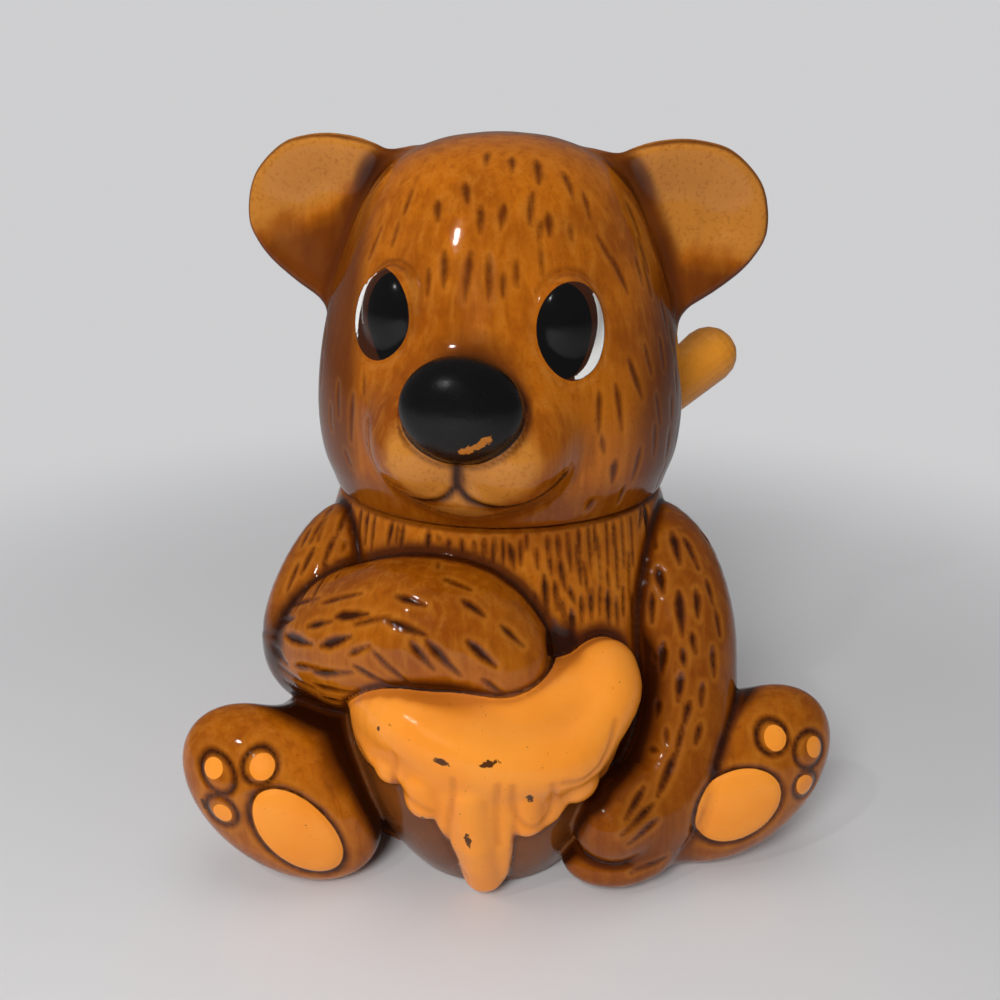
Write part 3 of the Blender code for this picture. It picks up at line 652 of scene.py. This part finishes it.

# Creases round the drips of the honey, cut in and painted dark as the shadow lines beside them, in
# x and z, and half their width.
HONEY_SHADED_SEAMS = [(points, 0.22) for points in (
    [(-22.2, 33.4), (-21.8, 31.6), (-22.2, 28.4), (-20.9, 26.3), (-18.3, 25.2), (-15.6, 23.6)],
    [(-12.0, 31.4), (-12.0, 27.9), (-12.7, 22.5), (-12.9, 17.0), (-12.0, 11.0), (-10.0, 7.0)],
    [(-4.4, 30.6), (-4.6, 26.3), (-4.5, 20.4), (-4.1, 16.1)],
    [(-1.9, 30.2), (-1.6, 25.1), (-0.3, 21.4), (2.3, 19.9), (4.7, 21.1), (5.4, 24.9), (5.1, 29.8)],
    [(16.9, 37.4), (15.8, 34.6), (13.7, 31.4), (10.6, 29.4), (6.9, 29.8)])]
# Chips in the honey's paint: a start, an end and half a width.
CHIPS = [
    (-14.8, 34.9, -12.2, 34.3, 0.75), (-7.0, 34.5, -4.4, 34.9, 0.8), (0.9, 27.6, 1.5, 26.0, 0.75),
    (-9.7, 19.4, -9.3, 16.6, 0.75), (-24.6, 37.8, -24.5, 37.3, 0.5),
    (-57.8, 18.6, -56.6, 17.0, 0.9), (-17.5, 22.0, -17.0, 21.4, 0.45)]

# The mouth, in the face's own x and z, and half its width. Then the worn spot on the nose.
MOUTH = [
    ([(-0.6, -20.6), (-0.8, -23.6), (-0.9, -25.4)], 0.26),
    ([(-0.9, -25.4), (-3.0, -28.0), (-6.5, -29.4), (-10.2, -29.2), (-13.6, -27.4), (-16.2, -24.6)],
     0.14),
    ([(-0.9, -25.4), (1.0, -27.8), (4.5, -29.4), (7.8, -29.6), (11.3, -28.6), (14.4, -26.6),
      (17.0, -23.9)], 0.14),
]
WORN = [([(1.0, -17.6), (3.0, -16.6), (5.0, -15.2)], 0.7)]

# How far out the laying starts: the front's y, the y in front of the face, and all round.
FRONT, FACE_FRONT, ROUND = -72, -66, 70
# Radians to each side of the front that hold the strokes above. Elsewhere they lie in rows.
FRONT_REACH = 1.12


def lay(field, places, way):
    """Where a surface is met from places outside it along a way each, and which of them meet it."""
    p, way = np.array(places, np.float32), np.array(way, np.float32)
    for _ in range(70):
        p = p + way * np.clip(field(p) * 0.8, -1, 2.2)[:, None]
    return p, np.abs(field(p)) < 0.1


def tapered(starts, ends, met, halves, longest):
    """Strokes that widen soon after their start and run out thin."""
    made = []
    for a, b, both, half in zip(starts, ends, met, halves):
        if both and np.linalg.norm(a - b) < longest:
            a, b = a * 1.14 - b * 0.14, b * 1.10 - a * 0.10
            near, past = a * 0.75 + b * 0.25, a * 0.45 + b * 0.55
            ends = ((a, 0.20), (near, 0.75), (past, 0.68), (b, 0.10))
            made += [(p, q, half * u, half * v) for (p, u), (q, v) in zip(ends, ends[1:])]
    return made


def front_strokes(table, field):
    t = np.array(table)
    (a, met_a), (b, met_b) = (
        lay(field, [(x, FRONT, z) for x, z in t[:, end:end + 2]], AHEAD) for end in (0, 2))
    return tapered(a, b, met_a & met_b, t[:, 4], 12)


def laid_lines(lines, field, from_place, way):
    """Smooth lines laid onto a surface along a way, as strokes one after the other."""
    made = []
    for points, half in lines:
        laid, _ = lay(field, [from_place(x, z) for x, z in smooth_path(points, 3)], way)
        made += [(a, b, half, half) for a, b in zip(laid, laid[1:]) if np.linalg.norm(a - b) < 5]
    return made


def face_lines(lines):
    way = FACE @ np.array(AHEAD, np.float32)
    return laid_lines(lines, head, lambda x, z: from_face(x, FACE_FRONT, z), way)


def rows_round(heights, counts, lengths, halves):
    """Rows of strokes all round a form: the angle, height, length and half width of each."""
    rows = []
    for row, (z, count) in enumerate(zip(heights, counts)):
        for i in range(count):
            angle = 2 * math.pi * (i + 0.5 * (row % 2)) / count + rng.uniform(-0.05, 0.05)
            height = z + rng.uniform(-1.6, 1.6)
            rows.append((angle, height, rng.uniform(*lengths), rng.uniform(*halves)))
    return rows


def ring_strokes(rows, field, turned, wider):
    """Strokes that run down a round form behind its front, laid onto it from all round. The front
    is turned by some radians, and wider by some near the table, where the legs are."""
    kept = []
    for row in rows:
        angle = (row[0] + turned + math.pi) % (2 * math.pi) - math.pi
        if abs(angle) > FRONT_REACH + wider * (row[1] < 30):
            kept.append(row)
    angle, z, length, half = np.array(kept).T
    out = np.stack([np.sin(angle), -np.cos(angle), 0 * angle], 1)
    (a, met_a), (b, met_b) = (
        lay(field, out * ROUND + (z + share * length)[:, None] * (0, 0, 1), -out)
        for share in (0.5, -0.5))
    return tapered(a, b, met_a & met_b, half, 9)


head_rows = rows_round(np.arange(73, 131, 6.0), [30, 30, 30, 30, 28, 28, 26, 22, 18, 12],
                       (3.2, 5.4), (0.45, 0.8))
body_rows = rows_round(np.arange(7, 64, 7.2), [32, 34, 34, 34, 32, 30, 28, 26],
                       (3.8, 6.2), (0.55, 0.95))
head_strokes = front_strokes(HEAD_FRONT, head) + ring_strokes(head_rows, skull, 0.2, 0)
body_strokes = front_strokes(BODY_FRONT, body) + ring_strokes(body_rows, body_rest, 0, 0.43)
honey_shaded_seams = laid_lines(HONEY_SHADED_SEAMS, body, lambda x, z: (x, FRONT, z), AHEAD)
chips = front_strokes(CHIPS, body)

# Pads in each sole's own x and z: a middle and two half axes, the three toes first. Rings are cut
# round them, to both sides by RING_CUT, and paint is laid in them.
RINGS = {
    -1: [((-6.9, 5.3), (3.1, 0), (0, 3.1)), ((-12.1, -0.7), (3.9, -0.9), (0.7, 2.9)),
         ((-7.3, -6.0), (3.3, 0.2), (-0.1, 2.7)), ((6.1, -0.7), (10.5, -1.9), (0.9, 6.1))],
    1: [((9.0, 5.4), (3.0, 0), (0, 3.0)), ((13.0, -1.9), (3.3, -1.1), (1.0, 3.3)),
        ((8.1, -6.6), (2.8, 0), (0, 2.7)), ((-4.5, 0.0), (9.0, -1.4), (0.9, 7.0))],
}
PAINT = {
    -1: [((-6.4, 5.5), (2.3, 0), (0, 2.3)), ((-13.2, -0.6), (1.9, 0), (0, 2.0)),
         ((-6.9, -6.1), (1.9, 0.3), (-0.2, 1.7)), ((6.2, -0.5), (10.1, -1.9), (0.8, 5.7))],
    1: [((9.3, 4.9), (2.25, 0), (0, 2.25)), ((14.0, -2.3), (1.7, -0.6), (0.6, 2.1)),
        ((8.0, -6.5), (1.9, 0), (0, 2.2)), ((-4.3, 0.0), (8.6, -1.3), (0.9, 6.8))],
}
RING_CUT = 0.42
# Masks of the pads and the eyes stop at this distance.
MASK_REACH = 6.0


def oval(x, z, shape):
    """Roughly the distance past an oval's edge."""
    middle, a, b = (np.array(v, float) for v in shape)
    inverse = np.linalg.inv(np.array([a, b]).T)
    u = (x - middle[0]) * inverse[0, 0] + (z - middle[1]) * inverse[0, 1]
    v = (x - middle[0]) * inverse[1, 0] + (z - middle[1]) * inverse[1, 1]
    size = min(np.linalg.norm(a), np.linalg.norm(b))
    return (np.hypot(u, v) - 1) * size


def pads(p, shapes):
    """The distance past the nearest pad's edge."""
    best = everywhere(p, MASK_REACH)
    for side in (-1, 1):
        q = (p - sole_centre(side)) @ sole_axes(side)
        front = (q[:, 1] < -2) & (np.abs(q[:, 0]) < 22) & (np.abs(q[:, 2]) < 14.5)
        for shape in shapes[side]:
            best[front] = np.minimum(best[front], oval(q[front, 0], q[front, 2], shape))
    return best


# Eyes in their own x and z: the whole eye, the black of it, the inner edge of the white, and the
# middle and half the height of the white.
EYE_OVALS = {
    -1: (((-1.4, 0.0), (6.9, 0), (0, 7.9)), ((1.4, -0.2), (4.0, 0), (0, 7.7)),
         ((0.0, -1.3), (7.0, 0), (0, 8.6)), (0.0, 6.9)),
    1: (((0.0, -0.7), (6.4, 0), (0, 8.2)), ((-1.7, -0.6), (4.7, 0), (0, 7.9)),
        ((-1.2, 0.5), (5.6, 0), (0, 8.9)), (-1.6, 7.2)),
}


def eyes(p):
    """Distances to the whole eyes, to their black and to their white."""
    whole, black, white = (everywhere(p, MASK_REACH) for _ in range(3))
    for side in (-1, 1):
        place, axes = eye_place(side)
        q = (p - place) @ axes
        front = (q[:, 1] < 0) & (np.abs(q[:, 0]) < 12) & (np.abs(q[:, 2]) < 14)
        x, z = q[front, 0], q[front, 2]
        all_of_it, dark, inner, (middle, reach) = EYE_OVALS[side]
        e0, e1, e2 = oval(x, z, all_of_it), oval(x, z, dark), oval(x, z, inner)
        whole[front] = np.minimum(whole[front], e0)
        black[front] = np.minimum(black[front], np.maximum(e1, e0))
        crescent = np.maximum(np.maximum(e0 + 0.1, -e2), np.abs(z - middle) - reach)
        white[front] = np.minimum(white[front], np.maximum(crescent, -x * side))
    return whole, black, white


# ------------ materials

class Nodes:
    """A small set of helpers for writing one procedural material."""

    def __init__(self, name):
        self.material = bpy.data.materials.new(name)
        self.material.use_nodes = True
        self.tree = self.material.node_tree
        self.shader = self.tree.nodes["Principled BSDF"]
        self.place = self.node("TexCoord").outputs["Object"]

    def link(self, socket, value):
        if hasattr(value, "is_output"):
            self.tree.links.new(value, socket)
        else:
            socket.default_value = (*value, 1) if socket.type == "RGBA" else value

    def node(self, kind, **inputs):
        """A new node with some inputs given. An underscore in a name stands for a space."""
        node = self.tree.nodes.new("ShaderNode" + kind)
        for key, value in inputs.items():
            self.link(node.inputs[key.replace("_", " ")], value)
        return node

    def attribute(self, name):
        node = self.node("Attribute")
        node.attribute_name = name
        return node.outputs["Fac"]

    def math(self, operation, a, b):
        node = self.node("Math")
        node.operation = operation
        self.link(node.inputs[0], a)
        self.link(node.inputs[1], b)
        return node.outputs[0]

    def uneven(self, value, noise, amount):
        """A value made uneven by a noise round its middle."""
        sway = self.math("MULTIPLY", self.math("SUBTRACT", noise, 0.5), amount)
        return self.math("ADD", value, sway)

    def ramp(self, value, low, high, to_low=0.0, to_high=1.0):
        node = self.node("MapRange", Value=value, From_Min=low, From_Max=high,
                         To_Min=to_low, To_Max=to_high)
        node.interpolation_type = "SMOOTHSTEP"
        return node.outputs["Result"]

    def noise(self, scale, detail=4.0, rough=0.55, stretch=None, distortion=0.0):
        place = self.place
        if stretch:
            place = self.node("Mapping", Scale=stretch, Vector=place).outputs["Vector"]
        return self.node("TexNoise", Scale=scale, Detail=detail, Roughness=rough,
                         Distortion=distortion, Vector=place).outputs["Fac"]

    def mix(self, factor, a, b):
        node = self.node("Mix", Factor=factor)
        node.data_type = "RGBA"
        self.link(node.inputs[6], a)
        self.link(node.inputs[7], b)
        return node.outputs[2]

    def layers(self, colour, *rows):
        """Lays colours over one another, each with a mask, where the mask starts to show and where
        it shows in full, and how much it covers then."""
        for mask, low, high, most, laid in rows:
            colour = self.mix(self.ramp(mask, low, high, 0, most), colour, laid)
        return colour

    def bump(self, height, strength, distance):
        node = self.node("Bump", Height=height, Strength=strength, Distance=distance)
        return node.outputs["Normal"]

    def finish(self, colour, roughness, normal=None, specular=0.5):
        values = {"Base Color": colour, "Roughness": roughness, "Specular IOR Level": specular}
        if normal is not None:
            values["Normal"] = normal
        for key, value in values.items():
            self.link(self.shader.inputs[key], value)
        return self.material


AMBER, AMBER_DEEP = (0.480, 0.128, 0.0035), (0.250, 0.054, 0.0016)
# The last of these, a dark brown, serves the glaze and also painted shade.
OCHRE, TAN, DARK_BROWN_AND_SHADE = (0.62, 0.225, 0.022), (0.60, 0.235, 0.036), (0.105, 0.020, 0.0013)
# Near black of the strokes, also used as painted shade in creases and seams.
GROOVE, GROOVE_HEAD = (0.024, 0.0045, 0.0008), (0.085, 0.0165, 0.0012)
POT_DEEP, POT_LIGHT = (0.110, 0.030, 0.005), (0.190, 0.056, 0.011)
ORANGE, ORANGE_DEEP = (0.97, 0.330, 0.036), (0.90, 0.260, 0.016)
# The first two are painted shade in the honey's creases and painted shadow along its folds; the
# last is the bare chips.
ORANGE_CREASE_SHADE, ORANGE_FOLD_SHADOW, CHIP = (0.50, 0.125, 0.012), (0.58, 0.155, 0.014), (0.050, 0.018, 0.006)
INK, EYE_BROWN, EYE_WHITE = (0.004, 0.0035, 0.0035), (0.045, 0.012, 0.004), (0.84, 0.83, 0.80)
NOSE_WORN = (0.50, 0.16, 0.012)
DIPPER_DEEP, DIPPER_LIGHT = (0.80, 0.285, 0.018), (0.92, 0.350, 0.030)


def glaze(n, stroke, depth, rim):
    """Amber glaze: thin and light on what stands out, deep and dark where it has run together and
    as painted shade in creases, seams and darker parts.
    Strokes get a colour, the share that it covers, and the share of a light rim beside them."""
    broad = n.noise(38, 5, 0.62)
    fine = n.noise(300, 6, 0.65)
    streaks = n.noise(520, 5, 0.6, (1, 1, 0.10), 0.4)
    specks = n.noise(1250, 3, 0.6)
    fur, thin = n.attribute("fur"), n.attribute("light")
    crease = n.uneven(n.attribute("crease"), broad, 0.25)
    seam = n.uneven(n.attribute("seam"), fine, 0.5)
    ragged = n.uneven(fur, fine, 0.7)
    colour = n.layers(
        n.mix(n.ramp(broad, 0.34, 0.62), AMBER_DEEP, AMBER),
        (streaks, 0.46, 0.70, 0.30, OCHRE),
        (streaks, 0.50, 0.32, 0.45, AMBER_DEEP),
        (specks, 0.56, 0.72, 0.45, AMBER_DEEP),
        (n.uneven(thin, fine, 0.9), 0.15, 0.95, 0.80, TAN))
    colour = n.mix(n.math("MULTIPLY", n.ramp(specks, 0.52, 0.66, 0, 0.3), thin), colour, AMBER_DEEP)
    # Darker glaze and painted shade where the dark mask lies.
    colour = n.layers(colour, (n.uneven(n.attribute("dark"), broad, 0.9), 0.20, 0.95, 0.85, DARK_BROWN_AND_SHADE))
    halo = n.math("MULTIPLY", n.ramp(fur, 0.1, 0.6), n.ramp(fur, 0.6, 1.8, rim, 0))
    colour = n.layers(
        n.mix(halo, colour, OCHRE),
        # Lighter, thinner glaze on what stands out; in creases, pooled glaze and painted shade,
        # dark brown and then near black.
        (crease, -0.02, -0.24, 0.45, OCHRE),
        (crease, 0.06, 0.30, 0.80, DARK_BROWN_AND_SHADE),
        (crease, 0.22, 0.50, 0.95, GROOVE),
        (ragged, 0.75, 0.0, 0.45 * depth, DARK_BROWN_AND_SHADE),
        (ragged, 0.30, -0.45, depth, stroke),
        # Seams: on the body, pooled glaze and painted shade; on the head, the mouth's line.
        (seam, 1.5, 0.3, 0.65, DARK_BROWN_AND_SHADE),
        (seam, 0.75, -0.1, 0.97, GROOVE),
        (n.attribute("inside"), -0.3, 0.1, 1, AMBER_DEEP))
    return colour, n.ramp(fine, 0.3, 0.75, 0.05, 0.13), fine


def finish_glaze(n, colour, rough):
    return n.finish(colour, rough, n.bump(n.noise(260, 3), 0.08, 0.0006), 0.3)


def body_material():
    n = Nodes("glaze_body")
    colour, rough, fine = glaze(n, GROOVE, 0.93, 0.20)
    chipped = n.uneven(n.attribute("chips"), n.noise(900, 5, 0.7), 2.0)
    pot = n.mix(n.ramp(n.noise(60, 5), 0.35, 0.7), POT_DEEP, POT_LIGHT)
    colour = n.layers(
        colour,
        (n.attribute("pot"), 0.9, 0.2, 0.85, pot),
        (chipped, 0.35, 0.0, 0.85, CHIP))
    paint = n.layers(
        ORANGE,
        (n.noise(85, 4), 0.35, 0.7, 0.5, ORANGE_DEEP),
        # Painted shade in the creases of the honey.
        (n.attribute("crease"), 0.03, 0.30, 0.8, ORANGE_CREASE_SHADE),
        # Painted shadow lines along the drips' creases.
        (n.attribute("shaded_folds"), 1.0, -0.3, 0.50, ORANGE_FOLD_SHADOW),
        (n.noise(1500, 2), 0.715, 0.75, 0.6, DARK_BROWN_AND_SHADE))
    painted = n.ramp(n.uneven(n.attribute("paint"), fine, 0.22), -0.04, 0.08)
    painted = n.math("MULTIPLY", painted, n.ramp(chipped, -0.05, 0.10))
    rough = n.math("ADD", rough, n.math("MULTIPLY", painted, 0.13))
    return finish_glaze(n, n.mix(painted, colour, paint), rough)


def head_material():
    n = Nodes("glaze_head")
    colour, rough, fine = glaze(n, GROOVE_HEAD, 0.82, 0.10)
    eye = n.ramp(n.uneven(n.attribute("eye"), fine, 0.15), 0.06, -0.06)
    black = n.ramp(n.attribute("eye_black"), 0.06, -0.06)
    white = n.ramp(n.uneven(n.attribute("eye_white"), fine, 0.15), 0.06, -0.06)
    nose = n.ramp(n.uneven(n.attribute("nose"), fine, 0.15), 0.08, -0.08)
    worn = n.ramp(n.uneven(n.attribute("worn"), n.noise(700, 5, 0.7), 2.2), 0.1, -0.1)
    for mask, laid in ((eye, EYE_BROWN), (black, INK), (white, EYE_WHITE),
                       (nose, n.mix(worn, INK, NOSE_WORN))):
        colour = n.mix(mask, colour, laid)
    for mask, duller in ((black, 0.07), (nose, 0.19)):
        rough = n.math("ADD", rough, n.math("MULTIPLY", mask, duller))
    return finish_glaze(n, colour, rough)


def dipper_material():
    n = Nodes("dipper_plastic")
    colour = n.mix(n.ramp(n.noise(70, 4), 0.35, 0.7), DIPPER_DEEP, DIPPER_LIGHT)
    rough = n.ramp(n.noise(600, 4), 0.3, 0.7, 0.20, 0.32)
    return n.finish(colour, rough, n.bump(n.noise(900, 3), 0.05, 0.0004))


# ------------ the two castings

# A hollow between the forearm's end, the chest and the heap of honey, painted dark as pooled glaze
# and painted shade.
SHADED_HOLLOW = (8.5, -41, 46)

points, quads, normal, crease = build(body, (-66, -66, -1.5), (66, 50, 69))
parts = np.stack([*body_parts(points), honey(points)])
on_honey = body_rest(points) - parts[-1]
elsewhere = np.delete(parts, (ARM_PART, FINGER_PART), 0).min(0)
on_hand = np.minimum(parts[ARM_PART], parts[FINGER_PART]) < elsewhere
fur = np.minimum(stroke_distance(points, body_strokes), np.abs(pads(points, RINGS)) - RING_CUT)
fur[on_honey > 0] = 4
# Seams run where two parts are about as near, but not beside the honey or at the hand's outer side.
# They are cut in and painted dark, as pooled glaze and painted shade.
seam = np.clip(np.sort(parts, axis=0)[1] - 0.35, -1, 4)
seam = np.minimum(seam, np.linalg.norm(points - SHADED_HOLLOW, axis=1) * 0.5 - 2.2)
seam += 3.0 * hand_side(points) * on_hand
seam[on_honey > -0.3] = 4
# Creases round the drips, cut in and carrying painted shadow lines.
shaded_folds = stroke_distance(points, honey_shaded_seams)
body_attributes = {
    "fur": fur, "seam": seam, "shaded_folds": shaded_folds, "crease": crease,
    "paint": np.clip(np.maximum(on_honey, -pads(points, PAINT)), -3, 3),
    "chips": stroke_distance(points, chips),
    "pot": np.clip(pot_profile(pot_local(points)), -3, 3),
    "light": np.zeros(len(points)),
    # Darker glaze and painted shade, part by part.
    "dark": PART_DARK[parts.argmin(0)],
    "inside": np.clip(-jar(points), -3, 3),
}
carved = carve(points, normal, ((fur, 0.40, 0.7), (seam, 0.40, 0.8), (shaded_folds, 0.45, 0.9)))
make_mesh("bear_body", carved, quads, body_attributes, "pot_body",
          body_material(), "pot_body")


def patch(x, z, middle, radii, low, high):
    """An oval patch on the face, with a soft edge."""
    return step(1 - np.hypot((x - middle[0]) / radii[0], (z - middle[1]) / radii[1]), low, high)


def head_shades(p, eye):
    """Where the head's glaze is light and where it is dark. The dark is painted shade on the sides
    and underneath, over glaze that is thicker on the sides.
    """
    x, y, z = face_local(p).T
    lips = patch(x, z, (0, -20.5), (15.5, 11.0), -0.05, 0.35) * (y < -33) * (p[:, 2] > 73)
    chin = patch(x, z, (-0.5, -31.4), (6.5, 1.9), -0.1, 0.4) * (y < -33)
    round_eyes = 0.40 * step(eye, 0.1, 0.7) * step(eye, 2.4, 0.9) * (y < -10)
    light = np.maximum.reduce([lips, chin, round_eyes])
    # Painted shade, with thicker glaze, on the sides of the head, and painted shade under the chin.
    shaded_sides = np.maximum(0.9 * step(x, 22, 35), 1.1 * step(-x, 16, 28))
    dark = np.maximum(shaded_sides, 0.6 * step(z, -22, -32))
    for side in (-1, 1):
        out, back, up = ear_local(p, side)
        in_front = step(back, 8, 3)
        on_ear = step(skull(p) - ear(p, side), 1.0, 5.0) * in_front
        # The wavy edge between the ear's light upper part and its dark lower part.
        level = 15 - 0.42 * (out - 42) if side < 0 else 9.5 + 1.1 * np.maximum(34 - out, 0)
        edge = up - level + 0.8 * np.sin(0.40 * out + side) + 0.35 * np.sin(0.95 * out)
        light = np.maximum(light, on_ear * step(edge, -4, 5))
        root = 0.65 * step(out, 27, 31) * step(edge, 2, -3) * in_front * (up > -3)
        dark = np.maximum.reduce([dark * (1 - on_ear), on_ear * 0.85 * step(edge, 1, -5), root])
    return light, dark


points, quads, normal, crease = build(head, (-56, -56, 60), (56, 42, 137))
fur = stroke_distance(points, head_strokes)
mouth = stroke_distance(points, face_lines(MOUTH))
eye, black_eye, white_eye = eyes(points)
light, dark = head_shades(points, eye)
head_attributes = {
    "fur": fur, "seam": mouth, "crease": crease, "light": light, "dark": dark,
    "eye": eye, "eye_black": black_eye, "eye_white": white_eye,
    "nose": np.clip(NOSE[0](points) - 0.25, -3, 3),
    "worn": stroke_distance(points, face_lines(WORN)),
    "inside": np.clip(-head_hollow(points), -3, 3),
}
carved = carve(points, normal, ((fur, 0.22, 0.8), (mouth, 0.55, 0.8)))
make_mesh("bear_head", carved, quads, head_attributes, "head_lid",
          head_material(), "head_lid")

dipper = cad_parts["dipper"]
dipper.data.materials.clear()
dipper.data.materials.append(dipper_material())

# ------------ camera, room and lamps

# The camera that was fitted to the photo: degrees below level, and degrees to the viewer's right.
TILT, SWING = 19.05, 4.0
camera = add_object("camera", bpy.data.cameras.new("camera"))
camera.data.sensor_width = 36
camera.data.lens = 36
camera.data.clip_start = 0.01
camera.location = (-0.0141, -0.2015, 0.1311)
camera.rotation_euler = (math.radians(90 - TILT), 0, math.radians(-SWING))
bpy.context.scene.camera = camera

BACKDROP = (0.62, 0.62, 0.63)
FLOOR, FLOOR_LIGHT = (0.76, 0.76, 0.77), (0.79, 0.79, 0.80)
AIR = (0.74, 0.75, 0.77)
# How far from the pot the floor starts to fade into the backdrop, and where it has.
FADE_START, FADE_END = 0.08, 0.32


def show_mixed(tree, factor, first, second, output):
    """Sends a mix of two shaders to an output."""
    both = tree.nodes.new("ShaderNodeMixShader")
    tree.links.new(factor, both.inputs["Fac"])
    tree.links.new(first, both.inputs[1])
    tree.links.new(second, both.inputs[2])
    tree.links.new(both.outputs["Shader"], tree.nodes[output].inputs["Surface"])


def camera_sees(tree):
    return tree.nodes.new("ShaderNodeLightPath").outputs["Is Camera Ray"]


floor_mesh = bpy.data.meshes.new("floor")
floor_mesh.from_pydata([(-4, -4, 0), (4, -4, 0), (4, 4, 0), (-4, 4, 0)], [], [(0, 1, 2, 3)])
floor = add_object("floor", floor_mesh)
n = Nodes("floor")
n.finish(n.mix(n.noise(9, 2), FLOOR, FLOOR_LIGHT), 0.9)
length = n.node("VectorMath")
length.operation = "LENGTH"
n.link(length.inputs[0], n.place)
far = n.node("Emission", Color=BACKDROP)
fade = n.ramp(length.outputs["Value"], FADE_START, FADE_END)
fade = n.math("MULTIPLY", fade, camera_sees(n.tree))
show_mixed(n.tree, fade, n.shader.outputs["BSDF"], far.outputs["Emission"], "Material Output")
floor_mesh.materials.append(n.material)

# The room lights the pot with air, and shows the camera the backdrop.
world = bpy.data.worlds.new("room")
bpy.context.scene.world = world
world.use_nodes = True
tree = world.node_tree
air, backdrop = tree.nodes["Background"], tree.nodes.new("ShaderNodeBackground")
for node, colour, strength in ((air, AIR, 0.17), (backdrop, BACKDROP, 1.0)):
    node.inputs["Color"].default_value = (*colour, 1)
    node.inputs["Strength"].default_value = strength
show_mixed(tree, camera_sees(tree), air.outputs[0], backdrop.outputs[0], "World Output")


def lamp(name, place, size, power, glossy):
    """A round lamp aimed at the middle of the pot, which may show in the glaze or not."""
    light = bpy.data.lights.new(name, "AREA")
    light.shape = "DISK"
    light.size = size
    light.energy = power
    made = add_object(name, light)
    made.location = place
    aim = Vector((0, 0, 0.06)) - Vector(place)
    made.rotation_euler = aim.to_track_quat("-Z", "Y").to_euler()
    made.visible_glossy = glossy


lamp("flash", (-0.208, -0.248, 0.38), 0.020, 0.14, True)
lamp("front", (-0.15, -0.42, 0.34), 0.20, 1.66, False)
lamp("over", (0.05, 0.05, 0.80), 0.70, 1.3, False)
lamp("left", (-0.75, -0.10, 0.45), 0.40, 0.6, False)

bpy.context.scene.view_settings.view_transform = "Standard"
